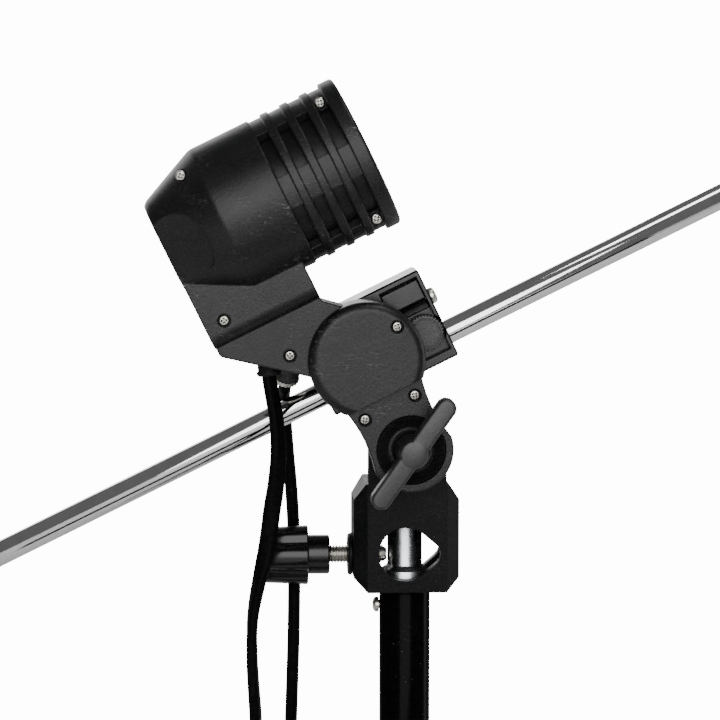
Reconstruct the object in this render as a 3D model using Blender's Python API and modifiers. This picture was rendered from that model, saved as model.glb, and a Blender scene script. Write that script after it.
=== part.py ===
"""Studio lamp holder: a vented lamp head on a tilting arm, with a clamp for an
accessory rod, carried by a bracket on the spigot of a light stand's top tube.

World frame: metres, +Z up, origin at the centre of the tube's lower end.
Bracket frame: the pan axis, with its origin on the bracket's lower face.
Head frame: the tilt pivot, with X along the lamp axis towards the lamp, Z
across it towards the barrel, and Y = 0 on the plane where the casing splits.
"""

import math

import bmesh
import bpy
from mathutils import Euler, Matrix, Vector

MM = 0.001
GAP = 0.3 * MM                    # clearance between pieces that touch

# stand
TUBE_LENGTH = 185 * MM
TUBE_WALL = 1.4 * MM
SPIGOT_RADIUS = 8.0 * MM
TUBE_LIP = 0.4 * MM                # tube's outside beyond the spigot's
TUBE_RADIUS = SPIGOT_RADIUS + TUBE_LIP
NECK_RADIUS = 5.75 * MM
NECK_BOTTOM = 7.4 * MM            # above the bracket's lower face
NECK_TOP = 23.0 * MM
SHOULDER_HEIGHT = 1.4 * MM
SPIGOT_TOP = 32.7 * MM
SPIGOT_SHANK = 25 * MM
SPIGOT_SCREW_DROP = 6.0 * MM      # below the tube's upper end
SPIGOT_SCREW_HEAD = 2.5 * MM
BUSH_FLANGE = 2.5 * MM
BUSH_PLUG = 12 * MM

# stand bracket
BRACKET_HALF_WIDTH = 17.4 * MM
BRACKET_HALF_DEPTH = 13.0 * MM
BRACKET_FACE_HALF = 13.0 * MM     # flat part of the front face
BRACKET_HEIGHT = 36.0 * MM
BRACKET_WALL = 4.2 * MM
BRACKET_FLOOR = 3.0 * MM
BRACKET_ROOF = 30.0 * MM          # underside of the solid top
EAR_HALF_WIDTH = 12.8 * MM
EAR_THICKNESS = 4.8 * MM
WINDOW_RADIUS = 8.9 * MM
WINDOW_HEIGHT = 12.7 * MM
LOBE_RADIUS = 4.1 * MM
LOBE_OFFSET = 7.4 * MM
WINDOW_SHIFT = -0.5 * MM
PIVOT_HEIGHT = 49.3 * MM          # tilt axis above the bracket's lower face

# clamp screw and its knob
CLAMP_HEIGHT = 11.0 * MM
CLAMP_SCREW_RADIUS = 3.0 * MM     # M6
CLAMP_THREAD_SHOWN = 6.0 * MM     # between insert and knob hub
INSERT_FLANGE_RADIUS = 7.0 * MM
INSERT_FLANGE = 1.3 * MM
INSERT_SHANK_RADIUS = 4.6 * MM
KNOB_HUB_RADIUS = 6.5 * MM
KNOB_HUB_LENGTH = 7.1 * MM
KNOB_RADIUS = 9.9 * MM
KNOB_LENGTH = 14.2 * MM
KNOB_LOBES = 5
KNOB_PHASE = math.radians(54)      # so that a lobe faces forwards
KNOB_FLUTE = 1.5 * MM

# arm and casing
REST_TILT = math.radians(26.15)
ARM_HALF = 8.0 * MM
ARM_Y = -(BRACKET_HALF_DEPTH + GAP + ARM_HALF)      # the casing's split plane
BLOCK_HALF = 11.5 * MM
BOSS_FACE = 12.0 * MM
SPLIT_GAP = 0.3 * MM
LUG_RADIUS = 13.7 * MM
BOSS_RADIUS = 18.8 * MM
BOSS_HEIGHT = 32.4 * MM
BOSS_CHORD = 19.6 * MM
BLOCK_REAR = -42.0 * MM
BLOCK_FRONT = -4.5 * MM
BLOCK_BOTTOM = 57.0 * MM
BLOCK_EDGE = 4.5 * MM

# lamp barrel
LAMP_HEIGHT = 92.3 * MM
BARREL_RADIUS = 25.1 * MM
BARREL_FRONT = -0.4 * MM
CONE_START = -21.6 * MM
REAR_RADIUS = 16.0 * MM
RIM_RADIUS = 25.6 * MM
RIM_LENGTH = 5.0 * MM
GROOVE_FLOOR = 24.4 * MM
GROOVE_WIDTH = 4.1 * MM
RIB_WIDTH = 2.85 * MM
RIB_COUNT = 3
CASING_WALL = 2.9 * MM
CAVITY_REAR = -33.0 * MM
BLOCK_ANGLE_SIDE = math.radians(12.5)
BLOCK_ANGLE_TOP = math.radians(36.0)
THUMB_CENTRE = (-38.5 * MM, 90.5 * MM)
THUMB_RADIUS = 12.0 * MM
THUMB_DEPTH = 3.2 * MM             # below the cone's surface

# tilt pivot
PIVOT_BOLT_RADIUS = 3.0 * MM
BOLT_HEAD_RADIUS = 5.6 * MM
BOLT_HEAD_LENGTH = 3.0 * MM
RING_OUTER = 10.9 * MM
RING_INNER = 7.6 * MM
RING_THICKNESS = 1.8 * MM
RING_TEETH = 40
RECESS_DEPTH = 3.5 * MM
WASHER_THICKNESS = 1.0 * MM
HANDLE_HALF_LENGTH = 21.0 * MM
HANDLE_HALF_WIDTH = 3.2 * MM
HANDLE_HUB_RADIUS = 4.6 * MM
HANDLE_COLLAR_RADIUS = 5.2 * MM
HANDLE_BACK = ARM_Y - 12.7 * MM   # world Y of the wings' rear face
HANDLE_FRONT = HANDLE_BACK - 7.0 * MM
HANDLE_ANGLE = math.radians(54.5)

# socket
SOCKET_REAR = -12.0 * MM
SOCKET_MOUTH = 21.0 * MM
SOCKET_RADIUS = 17.0 * MM
SHELL_RADIUS = 14.2 * MM
SHELL_WALL = 0.6 * MM
THREAD_PITCH = 3.63 * MM
THREAD_DEPTH = 0.9 * MM
THREAD_TURNS = 3
LINER_RADIUS = 21.2 * MM
LINER_WALL = 1.5 * MM

# casing screws
SCREW_HEAD_RADIUS = 1.75 * MM
SCREW_SHANK_RADIUS = 1.2 * MM
SCREW_HEAD = 1.6 * MM
SCREW_SUNK = 0.4 * MM
POST_RADIUS = 2.2 * MM

# rod clamp
ROD_RADIUS = 4.0 * MM
ROD_WALL = 0.8 * MM
ROD_LENGTH = 320 * MM
ROD_CENTRE = -14 * MM
ROD_HEIGHT = 25.65 * MM
ROD_Y = -ARM_Y                    # the rod lies over the stand axis
CHANNEL_LEFT = -17.0 * MM
CHANNEL_RIGHT = 27.9 * MM
CHANNEL_BOTTOM = 18.8 * MM
CHANNEL_TOP = 49.8 * MM
CHANNEL_BACK = 28.3 * MM
CHANNEL_WALL = 1.8 * MM
CHANNEL_END = 1.4 * MM
NOTCH_LEFT = 13.0 * MM
BAR_LOW = 36.8 * MM
BAR_STEP = 40.4 * MM
BAR_HIGH = 46.7 * MM
BAR_FRONT = 10.7 * MM
BAR_BACK = 19.0 * MM
END_SCREW = (39.4 * MM, 16.0 * MM)
THUMB_SCREW = (21.2 * MM, 29.8 * MM)
KNURL_RADIUS = 6.2 * MM
KNURL_TEETH = 30
KNURL_FACE_RADIUS = 4.4 * MM
KNURL_FRONT = 8.8 * MM
KNURL_LENGTH = 4.4 * MM
BRIDGE_FRONT = 13.9 * MM
THUMB_THREAD_RADIUS = 2.5 * MM
JAW_FRONT = ROD_Y - ROD_RADIUS + 0.5 * MM

# leads
LEAD_A_DIAMETER = 4.8 * MM
LEAD_B_DIAMETER = 4.2 * MM
COIL_MEAN_RADIUS = 33.5 * MM
COIL_HALF_RADIAL = 6.0 * MM
COIL_HALF_AXIAL = 9.8 * MM
COIL_CENTRE = (-16.1 * MM, -20.5 * MM, -88.0 * MM)   # in the bracket frame
TIE_ANGLE = math.radians(50)
TIE_WIDTH = 8.0 * MM
TIE_WALL = 1.4 * MM
TAIL_Y = -24.0 * MM
PLUG_NECK_TOP = -120.0 * MM
PLUG_BODY_TOP = -132.0 * MM
PLUG_FACE = -160.0 * MM
PLUG_HALF_WIDTH = 17.0 * MM
PLUG_HALF_DEPTH = 6.5 * MM
PIN_RADIUS = 2.0 * MM
PIN_LENGTH = 18.0 * MM
PIN_SPACING = 18.6 * MM
SWITCH_TOP = -110.0 * MM
SWITCH_LENGTH = 56.0 * MM
SWITCH_HALF_WIDTH = 11.0 * MM
SWITCH_HALF_DEPTH = 7.0 * MM
ROCKER_HALF_WIDTH = 4.2 * MM
ROCKER_HALF_LENGTH = 7.4 * MM
ROCKER_REST = math.radians(7)

# lead outlets on the arm's lower edge: places and directions in the head frame
BUSHING_NECK = LEAD_A_DIAMETER / 2 + GAP + 0.8 * MM
BUSHING_FLANGE = BUSHING_NECK + 0.6 * MM
BUSHING_PLACE = (-29.6 * MM, 0, 42.9 * MM)
BUSHING_TURN = (0, math.radians(20.4), 0)
GLAND_NECK = LEAD_B_DIAMETER / 2 + GAP + 0.7 * MM
GLAND_RADIUS = GLAND_NECK + MM
GLAND_PLACE = (-24.3 * MM, 15.6 * MM, 38.7 * MM)
GLAND_TURN = (math.radians(36.9), math.radians(33.3), 0)
CHANNEL_SCREWS = (-9 * MM, 6 * MM)
CHANNEL_SCREW_HEIGHT = 44.5 * MM

# lead routes: X, Y and height above the bracket's lower face, in millimetres
LEAD_A_ROUTE = [
    (-46.0, -21.3, 79.4), (-45.6, -21.3, 75.4), (-45.2, -21.3, 71.4),
    (-44.3, -21.0, 66.0), (-43.1, -20.6, 59.0), (-42.5, -20.2, 52.0), (-42.5, -20.0, 45.0),
    (-43.3, -19.5, 36.5), (-44.5, -19.0, 28.8), (-46.1, -18.5, 17.0),
    (-48.8, -18.0, 5.0), (-50.5, -17.6, -4.0), (-51.1, -17.5, -11.2),
    (-51.1, -17.5, -20.0), (-50.8, -17.7, -27.1), (-50.0, -18.0, -40.0),
    (-49.7, -18.3, -52.0), (-49.6, -18.5, -63.0),
]
TAIL_ROUTE = [
    (-49.6, -24.0, -113.0), (-49.6, -24.0, -116.4), (-49.6, -24.0, -119.7),
]
LEAD_B_ROUTE = [
    (-38.7, -6.6, 74.8), (-39.15, -3.9, 71.2), (-39.65, -0.9, 67.2),
    (-39.8, 2.6, 65.3), (-39.8, 5.4, 63.0), (-39.7, 7.1, 60.2),
    (-39.4, 8.7, 56.5), (-39.0, 10.1, 52.0), (-38.6, 11.1, 47.0),
    (-38.0, 12.0, 40.0), (-37.3, 12.6, 32.4), (-36.6, 13.1, 20.8),
    (-36.3, 13.5, 8.0), (-36.3, 13.5, -2.4), (-36.5, 13.5, -17.5),
    (-37.0, 13.5, -34.0), (-37.5, 13.5, -50.0), (-37.7, 13.5, -70.0),
    (-37.7, 13.5, -90.0), (-37.7, 13.5, -109.6),
]

# turns that lay a piece modelled along its own Z into the frame it sits in
ALONG_X = (0, math.pi / 2, 0)
ALONG_Y = (-math.pi / 2, 0, 0)
TO_FRONT = (math.pi / 2, 0, 0)
FACING_Y = (math.pi / 2, 0, 0)          # an outline drawn in X and Z
FACING_X = (math.pi / 2, 0, math.pi / 2)  # an outline drawn in Y and Z

FINISHES = {
    "black_abs": ((0.020, 0.020, 0.021), 0.55, 0.0),
    "gloss_plastic": ((0.010, 0.010, 0.011), 0.22, 0.0),
    "satin_metal": ((0.018, 0.018, 0.019), 0.42, 0.3),
    "tube_enamel": ((0.008, 0.008, 0.009), 0.25, 0.0),
    "chrome": ((0.72, 0.72, 0.73), 0.10, 1.0),
    "zinc": ((0.62, 0.61, 0.58), 0.30, 1.0),
    "turned_steel": ((0.66, 0.67, 0.69), 0.25, 1.0),
    "brass": ((0.60, 0.47, 0.22), 0.30, 1.0),
    "ceramic": ((0.78, 0.76, 0.72), 0.30, 0.0),
    "pvc": ((0.015, 0.015, 0.016), 0.42, 0.0),
    "rubber": ((0.020, 0.020, 0.020), 0.70, 0.0),
    "grey_plastic": ((0.16, 0.16, 0.17), 0.25, 0.0),
    "webbing": ((0.020, 0.020, 0.022), 0.85, 0.0),
}


# ---------------------------------------------------------------- helpers

def clear_scene():
    for item in list(bpy.data.objects):
        bpy.data.objects.remove(item, do_unlink=True)


def new_collection(name):
    group = bpy.data.collections.new(name)
    bpy.context.scene.collection.children.link(group)
    return group


def new_frame(name, parent=None, location=(0, 0, 0), rotation=(0, 0, 0)):
    """An empty that the pieces of one body hang on."""
    empty = bpy.data.objects.new(name, None)
    PARTS.objects.link(empty)
    empty.parent = parent
    empty.location = location
    empty.rotation_euler = rotation
    return empty


def put(name, mesh, parent, location=(0, 0, 0), rotation=(0, 0, 0)):
    item = bpy.data.objects.new(name, mesh)
    PARTS.objects.link(item)
    item.parent = parent
    item.location = location
    item.rotation_euler = rotation
    return item


def as_cutter(item):
    PARTS.objects.unlink(item)
    CUTTERS.objects.link(item)
    item.hide_render = True
    item.display_type = "WIRE"
    return item


def dress(item, finish):
    """Give a piece its own material."""
    colour, roughness, metallic = FINISHES[finish]
    material = bpy.data.materials.new(f"{item.name}_{finish}")
    material.use_nodes = True
    shader = material.node_tree.nodes["Principled BSDF"]
    shader.inputs["Base Color"].default_value = (*colour, 1)
    shader.inputs["Roughness"].default_value = roughness
    shader.inputs["Metallic"].default_value = metallic
    material.diffuse_color = (*colour, 1)
    item.data.materials.clear()
    item.data.materials.append(material)
    item.data.shade_smooth()
    item.data.set_sharp_from_angle(angle=math.radians(35))
    return item


def combine(item, other, operation):
    """Boolean `other` into `item`; the other shape becomes a cutter."""
    change = item.modifiers.new(operation.lower(), "BOOLEAN")
    change.operation = operation
    change.object = as_cutter(other)
    return item


def cut(item, *others):
    for other in others:
        combine(item, other, "DIFFERENCE")
    return item


def join(item, *others):
    for other in others:
        combine(item, other, "UNION")
    return item


def settled(item):
    """The item's mesh with its modifiers applied, as a plain mesh."""
    depsgraph = bpy.context.evaluated_depsgraph_get()
    return bpy.data.meshes.new_from_object(item.evaluated_get(depsgraph))


def box(name, parent, low, high):
    form = bmesh.new()
    bmesh.ops.create_cube(form, size=1)
    size = [b - a for a, b in zip(low, high)]
    middle = [(a + b) / 2 for a, b in zip(low, high)]
    bmesh.ops.transform(form, matrix=Matrix.Diagonal((*size, 1)), verts=form.verts)
    mesh = bpy.data.meshes.new(name)
    form.to_mesh(mesh)
    form.free()
    return put(name, mesh, parent, middle)


def cylinder(name, parent, radius, start, end, centre, turn, steps=32):
    """A cylinder from `start` to `end` along the axis that `turn` gives."""
    form = bmesh.new()
    bmesh.ops.create_cone(
        form, cap_ends=True, segments=steps, radius1=radius, radius2=radius, depth=end - start)
    bmesh.ops.translate(form, vec=(0, 0, (start + end) / 2), verts=form.verts)
    mesh = bpy.data.meshes.new(name)
    form.to_mesh(mesh)
    form.free()
    return put(name, mesh, parent, centre, turn)


def turned(name, parent, profile, centre=(0, 0, 0), turn=(0, 0, 0), steps=32, ring=False):
    """Turn a profile of (radius, height) points, top to bottom, about local Z."""
    mesh = bpy.data.meshes.new(name)
    edges = [(i, i + 1) for i in range(len(profile) - 1)]
    if ring:
        edges.append((len(profile) - 1, 0))
    mesh.from_pydata([(radius, 0, height) for radius, height in profile], edges, [])
    item = put(name, mesh, parent, centre, turn)
    screw = item.modifiers.new("turn", "SCREW")
    screw.steps = steps
    screw.render_steps = steps
    screw.use_merge_vertices = True
    screw.merge_threshold = 0.00001
    return item


def slab(name, parent, loops, low, high, turn, centre=(0, 0, 0)):
    """A flat outline, with any holes, extruded from `low` to `high`."""
    curve = bpy.data.curves.new(name, "CURVE")
    curve.dimensions = "2D"
    curve.fill_mode = "BOTH"
    curve.extrude = (high - low) / 2
    for loop in loops:
        spline = curve.splines.new("POLY")
        spline.points.add(len(loop) - 1)
        for point, (across, up) in zip(spline.points, loop):
            point.co = (across, up, 0, 1)
        spline.use_cyclic_u = True
    return curve_piece(name, curve, parent, centre, turn, (low + high) / 2)


def curve_piece(name, curve, parent, centre, turn, rise=0.0):
    """Turn a curve into a closed mesh piece, moved by `rise` along its Z."""
    guide = bpy.data.objects.new(name, curve)
    PARTS.objects.link(guide)
    mesh = settled(guide)
    bpy.data.objects.remove(guide, do_unlink=True)
    form = bmesh.new()
    form.from_mesh(mesh)
    bmesh.ops.remove_doubles(form, verts=form.verts, dist=0.000001)
    bmesh.ops.translate(form, vec=(0, 0, rise), verts=form.verts)
    bmesh.ops.recalc_face_normals(form, faces=form.faces)
    form.to_mesh(mesh)
    form.free()
    return put(name, mesh, parent, centre, turn)


def smooth_route(route, step):
    """Points a step apart on a smooth curve through the route's points."""
    points = [Vector(point) * MM for point in route]
    ends = [points[0] * 2 - points[1]] + points + [points[-1] * 2 - points[-2]]
    dense = []
    for before, start, finish, after in zip(ends, ends[1:], ends[2:], ends[3:]):
        for part in range(20):
            t = part / 20
            dense.append(0.5 * (
                2 * start + (finish - before) * t
                + (2 * before - 5 * start + 4 * finish - after) * t * t
                + (3 * start - before - 3 * finish + after) * t * t * t))
    dense.append(points[-1])
    chosen = [dense[0]]
    travelled = 0.0
    for last, point in zip(dense, dense[1:]):
        travelled += (point - last).length
        if travelled >= step:
            chosen.append(point)
            travelled = 0.0
    if (chosen[-1] - points[-1]).length < step / 2:
        chosen.pop()
    return chosen + [points[-1]]


def cord(name, parent, route, diameter):
    curve = bpy.data.curves.new(name, "CURVE")
    curve.dimensions = "3D"
    curve.bevel_depth = diameter / 2
    curve.bevel_resolution = 2
    curve.use_fill_caps = True
    spline = curve.splines.new("POLY")
    points = smooth_route(route, 2.0 * diameter)
    spline.points.add(len(points) - 1)
    for place, point in zip(spline.points, points):
        place.co = (*point, 1)
    return curve_piece(name, curve, parent, (0, 0, 0), (0, 0, 0))


def arc(centre, radius, start, end, count):
    """Points on an arc, angles in degrees, counter-clockwise when end > start."""
    points = []
    for index in range(count + 1):
        angle = math.radians(start + (end - start) * index / count)
        points.append((centre[0] + radius * math.cos(angle), centre[1] + radius * math.sin(angle)))
    return points


def rounded(half_width, low, high, radius, count=5):
    """A rectangle with round corners, centred across."""
    side = half_width - radius
    return (arc((side, low + radius), radius, -90, 0, count)
            + arc((side, high - radius), radius, 0, 90, count)
            + arc((-side, high - radius), radius, 90, 180, count)
            + arc((-side, low + radius), radius, 180, 270, count))


def bow(start, end, depth, count):
    """Points between two ends on a curve that bows left of its chord by depth."""
    along = Vector(end) - Vector(start)
    side = Vector((-along.y, along.x)).normalized()
    points = []
    for index in range(1, count):
        share = index / count
        point = Vector(start) + along * share + side * (4 * depth * share * (1 - share))
        points.append((point.x, point.y))
    return points


def lobed(radius, depth, lobes, count, phase=0.0):
    """A closed wavy outline with round lobes."""
    points = []
    for index in range(count):
        angle = 2 * math.pi * index / count
        wave = (1 - math.cos(lobes * angle)) / 2
        reach = radius - depth * wave ** 1.5
        points.append((reach * math.cos(angle + phase), reach * math.sin(angle + phase)))
    return points


# ---------------------------------------------------------------- stand

def make_stand(world):
    bore = TUBE_RADIUS - TUBE_WALL
    top = TUBE_LENGTH - GAP
    tube = turned(
        "stand_tube", world,
        [(TUBE_RADIUS, top), (TUBE_RADIUS, BUSH_FLANGE + GAP), (bore, BUSH_FLANGE + GAP), (bore, top)],
        steps=36, ring=True)
    screw_z = TUBE_LENGTH - SPIGOT_SCREW_DROP
    shank = 1.5 * MM
    cut(tube, cylinder(
        "tube_screw_hole", world, shank + GAP, -TUBE_RADIUS - MM, -bore + MM, (0, 0, screw_z), ALONG_X, 16))
    dress(tube, "tube_enamel")

    bush = turned(
        "tube_end_bush", world,
        [(0, BUSH_PLUG), (bore - GAP - MM, BUSH_PLUG), (bore - GAP, BUSH_PLUG - MM),
         (bore - GAP, BUSH_FLANGE), (TUBE_RADIUS, BUSH_FLANGE), (TUBE_RADIUS, 0.6 * MM),
         (TUBE_RADIUS - 0.6 * MM, 0), (0, 0)], steps=24)
    dress(bush, "gloss_plastic")

    base = TUBE_LENGTH
    chamfer = 0.7 * MM
    spigot = turned(
        "spigot", world,
        [(0, base + SPIGOT_TOP), (SPIGOT_RADIUS - chamfer, base + SPIGOT_TOP),
         (SPIGOT_RADIUS, base + SPIGOT_TOP - chamfer), (SPIGOT_RADIUS, base + NECK_TOP + SHOULDER_HEIGHT),
         (NECK_RADIUS, base + NECK_TOP), (NECK_RADIUS, base + NECK_BOTTOM),
         (SPIGOT_RADIUS, base + NECK_BOTTOM - SHOULDER_HEIGHT), (SPIGOT_RADIUS, base),
         (bore - GAP, base), (bore - GAP, base - SPIGOT_SHANK + chamfer),
         (bore - GAP - chamfer, base - SPIGOT_SHANK), (0, base - SPIGOT_SHANK)], steps=28)
    cut(spigot, cylinder(
        "spigot_screw_hole", world, shank + GAP, -TUBE_RADIUS, -3.5 * MM, (0, 0, screw_z), ALONG_X, 16))
    dress(spigot, "turned_steel")

    seat = TUBE_RADIUS + GAP
    screw = turned(
        "spigot_screw", world,
        [(0, seat + 1.9 * MM), (1.2 * MM, seat + 1.7 * MM), (2.1 * MM, seat + 1.0 * MM),
         (SPIGOT_SCREW_HEAD, seat), (shank, seat), (shank, 4.5 * MM), (0, 4.0 * MM)],
        (0, 0, screw_z), (0, -math.pi / 2, 0), 20)
    dress(screw, "zinc")


# ---------------------------------------------------------------- bracket

def window_outline(grow):
    """Large arc about the spigot with a smaller lobe beside it."""
    big = WINDOW_RADIUS + grow
    small = LOBE_RADIUS + grow
    lean = math.degrees(math.acos((big - small) / LOBE_OFFSET))
    centre = (WINDOW_SHIFT, WINDOW_HEIGHT)
    lobe = (WINDOW_SHIFT + LOBE_OFFSET, WINDOW_HEIGHT)
    return arc(centre, big, lean, 360 - lean, 24) + arc(lobe, small, -lean, lean, 12)


def make_bracket(frame):
    corner = BRACKET_HALF_WIDTH - BRACKET_FACE_HALF
    side_y = BRACKET_HALF_DEPTH - corner
    plan = [
        (-BRACKET_FACE_HALF, -BRACKET_HALF_DEPTH), (BRACKET_FACE_HALF, -BRACKET_HALF_DEPTH),
        (BRACKET_HALF_WIDTH, -side_y), (BRACKET_HALF_WIDTH, side_y),
        (BRACKET_FACE_HALF, BRACKET_HALF_DEPTH), (-BRACKET_FACE_HALF, BRACKET_HALF_DEPTH),
        (-BRACKET_HALF_WIDTH, side_y), (-BRACKET_HALF_WIDTH, -side_y)]
    bracket = slab("adapter_bracket", frame, [plan], 0, BRACKET_HEIGHT, (0, 0, 0))

    shoulder = BRACKET_HEIGHT - 1.3 * corner
    front_view = [
        (-BRACKET_FACE_HALF, 0), (BRACKET_FACE_HALF, 0), (BRACKET_HALF_WIDTH, corner),
        (BRACKET_HALF_WIDTH, shoulder), (EAR_HALF_WIDTH, BRACKET_HEIGHT + MM),
        (-EAR_HALF_WIDTH, BRACKET_HEIGHT + MM), (-BRACKET_HALF_WIDTH, shoulder),
        (-BRACKET_HALF_WIDTH, corner)]
    limits = slab(
        "bracket_front_view", frame, [front_view],
        -BRACKET_HALF_DEPTH - MM, BRACKET_HALF_DEPTH + MM, FACING_Y)
    combine(bracket, limits, "INTERSECT")

    ear = [(EAR_HALF_WIDTH, BRACKET_ROOF), *arc((0, PIVOT_HEIGHT), EAR_HALF_WIDTH, 0, 180, 24),
           (-EAR_HALF_WIDTH, BRACKET_ROOF)]
    ear_back = BRACKET_HALF_DEPTH - EAR_THICKNESS
    join(bracket, slab("bracket_ear", frame, [ear], ear_back, BRACKET_HALF_DEPTH, FACING_Y))

    inner_y = BRACKET_HALF_DEPTH - BRACKET_WALL
    inner_x = BRACKET_HALF_WIDTH - BRACKET_WALL
    cut(bracket, box(
        "bracket_pocket", frame, (-inner_x, -inner_y, BRACKET_FLOOR), (inner_x, inner_y, BRACKET_ROOF)))
    cut(bracket, cylinder(
        "spigot_bore", frame, SPIGOT_RADIUS + GAP, -MM, SPIGOT_TOP + GAP, (0, 0, 0), (0, 0, 0), 28))
    cut(bracket, slab(
        "front_window", frame, [window_outline(0)], inner_y - MM, BRACKET_HALF_DEPTH + MM, FACING_Y))
    cut(bracket, slab(
        "back_window", frame, [window_outline(1.6 * MM)],
        -BRACKET_HALF_DEPTH - MM, -inner_y + MM, FACING_Y))
    cut(bracket, cylinder(
        "insert_hole", frame, INSERT_SHANK_RADIUS + GAP, -BRACKET_HALF_WIDTH - MM, -inner_x + MM,
        (0, 0, CLAMP_HEIGHT), ALONG_X, 24))
    cut(bracket, cylinder(
        "pivot_hole", frame, PIVOT_BOLT_RADIUS + GAP, ear_back - MM, BRACKET_HALF_DEPTH + MM,
        (0, 0, PIVOT_HEIGHT), TO_FRONT, 24))
    dress(bracket, "satin_metal")

    outside = BRACKET_HALF_WIDTH + GAP
    insert = turned(
        "threaded_insert", frame,
        [(INSERT_FLANGE_RADIUS, outside + INSERT_FLANGE), (INSERT_FLANGE_RADIUS, outside),
         (INSERT_SHANK_RADIUS, outside), (INSERT_SHANK_RADIUS, inner_x + 0.2 * MM),
         (CLAMP_SCREW_RADIUS + GAP, inner_x + 0.2 * MM),
         (CLAMP_SCREW_RADIUS + GAP, outside + INSERT_FLANGE)],
        (0, 0, CLAMP_HEIGHT), (0, -math.pi / 2, 0), 24, ring=True)
    dress(insert, "satin_metal")

    head_start = ear_back - GAP
    tip = -HANDLE_FRONT - 3.5 * MM
    bolt = turned(
        "pivot_bolt", frame,
        [(0, tip), (PIVOT_BOLT_RADIUS - 0.6 * MM, tip), (PIVOT_BOLT_RADIUS, tip - 0.6 * MM),
         (PIVOT_BOLT_RADIUS, head_start), (BOLT_HEAD_RADIUS, head_start),
         (BOLT_HEAD_RADIUS, head_start - BOLT_HEAD_LENGTH + MM),
         (BOLT_HEAD_RADIUS - 1.5 * MM, head_start - BOLT_HEAD_LENGTH), (0, head_start - BOLT_HEAD_LENGTH)],
        (0, 0, PIVOT_HEIGHT), TO_FRONT, 24)
    dress(bolt, "zinc")


def make_clamp_screw(frame):
    """The screw that locks the bracket on the spigot, and its lobed knob."""
    outside = BRACKET_HALF_WIDTH + GAP + INSERT_FLANGE
    hub_start = outside + CLAMP_THREAD_SHOWN
    knob_start = hub_start + KNOB_HUB_LENGTH
    knob_end = knob_start + KNOB_LENGTH
    screw_end = knob_end - 2.5 * MM
    tip = NECK_RADIUS + GAP
    left = (0, -math.pi / 2, 0)
    place = (0, 0, CLAMP_HEIGHT)
    screw = turned(
        "clamp_screw", frame,
        [(0, screw_end), (CLAMP_SCREW_RADIUS, screw_end), (CLAMP_SCREW_RADIUS, tip + MM),
         (CLAMP_SCREW_RADIUS - MM, tip), (0, tip)], place, left, 24)
    dress(screw, "zinc")

    knob = slab(
        "clamp_knob", frame, [lobed(KNOB_RADIUS, KNOB_FLUTE, KNOB_LOBES, 60, KNOB_PHASE)],
        knob_start, knob_end, left, place)
    join(knob, cylinder(
        "knob_hub", frame, KNOB_HUB_RADIUS, hub_start, knob_start + MM, place, left, 32))
    cut(knob, cylinder(
        "knob_bore", frame, CLAMP_SCREW_RADIUS + GAP, hub_start - MM, screw_end + GAP, place, left, 24))
    dress(knob, "gloss_plastic")


# ---------------------------------------------------------------- tilt lock

def make_tilt_lock(frame):
    """Washer and wing handle on the pivot bolt; heights count from Y = 0 forwards."""
    place = (0, 0, PIVOT_HEIGHT)
    recess_floor = -ARM_Y + ARM_HALF - RECESS_DEPTH
    bore = PIVOT_BOLT_RADIUS + GAP
    low = recess_floor + GAP
    high = low + WASHER_THICKNESS
    washer = turned(
        "handle_washer", frame,
        [(HANDLE_COLLAR_RADIUS + MM, high), (HANDLE_COLLAR_RADIUS + MM, low), (bore, low), (bore, high)],
        place, TO_FRONT, 28, ring=True)
    dress(washer, "zinc")

    collar_low = high + GAP
    wing_low = -HANDLE_BACK
    wing_high = -HANDLE_FRONT
    reach = HANDLE_HALF_LENGTH - HANDLE_HALF_WIDTH
    wings = arc((reach, 0), HANDLE_HALF_WIDTH, -90, 90, 8) + arc((-reach, 0), HANDLE_HALF_WIDTH, 90, 270, 8)
    edge = 0.8 * MM
    hub = turned(
        "wing_handle", frame,
        [(0, wing_high), (HANDLE_HUB_RADIUS - edge, wing_high), (HANDLE_HUB_RADIUS, wing_high - edge),
         (HANDLE_HUB_RADIUS, wing_low), (HANDLE_COLLAR_RADIUS, wing_low - edge),
         (HANDLE_COLLAR_RADIUS, collar_low), (0, collar_low)], place, TO_FRONT, 24)
    wing = slab("handle_wings", frame, [wings], wing_low, wing_high, TO_FRONT, place)
    wing.rotation_euler = Euler((math.pi / 2, -HANDLE_ANGLE, 0))
    soften = wing.modifiers.new("soften", "BEVEL")
    soften.width = edge
    soften.segments = 1
    soften.limit_method = "ANGLE"
    join(hub, wing)
    bolt_tip = wing_high - 3.5 * MM
    cut(hub, cylinder(
        "handle_bore", frame, bore, collar_low - MM, bolt_tip + GAP, place, TO_FRONT, 24))
    dress(hub, "black_abs")


# ---------------------------------------------------------------- casing

def groove_starts():
    pitch = GROOVE_WIDTH + RIB_WIDTH
    return [BARREL_FRONT + index * pitch for index in range(RIB_COUNT + 1)]


def rim_start():
    return groove_starts()[-1] + GROOVE_WIDTH


def barrel_profile():
    """Outline of the barrel from the rim back, as (radius, distance along the axis)."""
    edge = 1.2 * MM
    small = 0.5 * MM
    start = rim_start()
    front = start + RIM_LENGTH
    profile = [(0, front), (RIM_RADIUS - edge, front), (RIM_RADIUS, front - edge),
               (RIM_RADIUS, start), (GROOVE_FLOOR, start)]
    for groove in reversed(groove_starts()):
        profile.append((GROOVE_FLOOR, groove))
        if groove > BARREL_FRONT + small:
            profile += [
                (BARREL_RADIUS, groove), (BARREL_RADIUS, groove - RIB_WIDTH),
                (GROOVE_FLOOR, groove - RIB_WIDTH)]
    profile += [(BARREL_RADIUS - small, BARREL_FRONT), (BARREL_RADIUS, BARREL_FRONT - small),
                (BARREL_RADIUS, CONE_START),
                (REAR_RADIUS, BLOCK_REAR + small), (REAR_RADIUS - small, BLOCK_REAR), (0, BLOCK_REAR)]
    return profile


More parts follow.
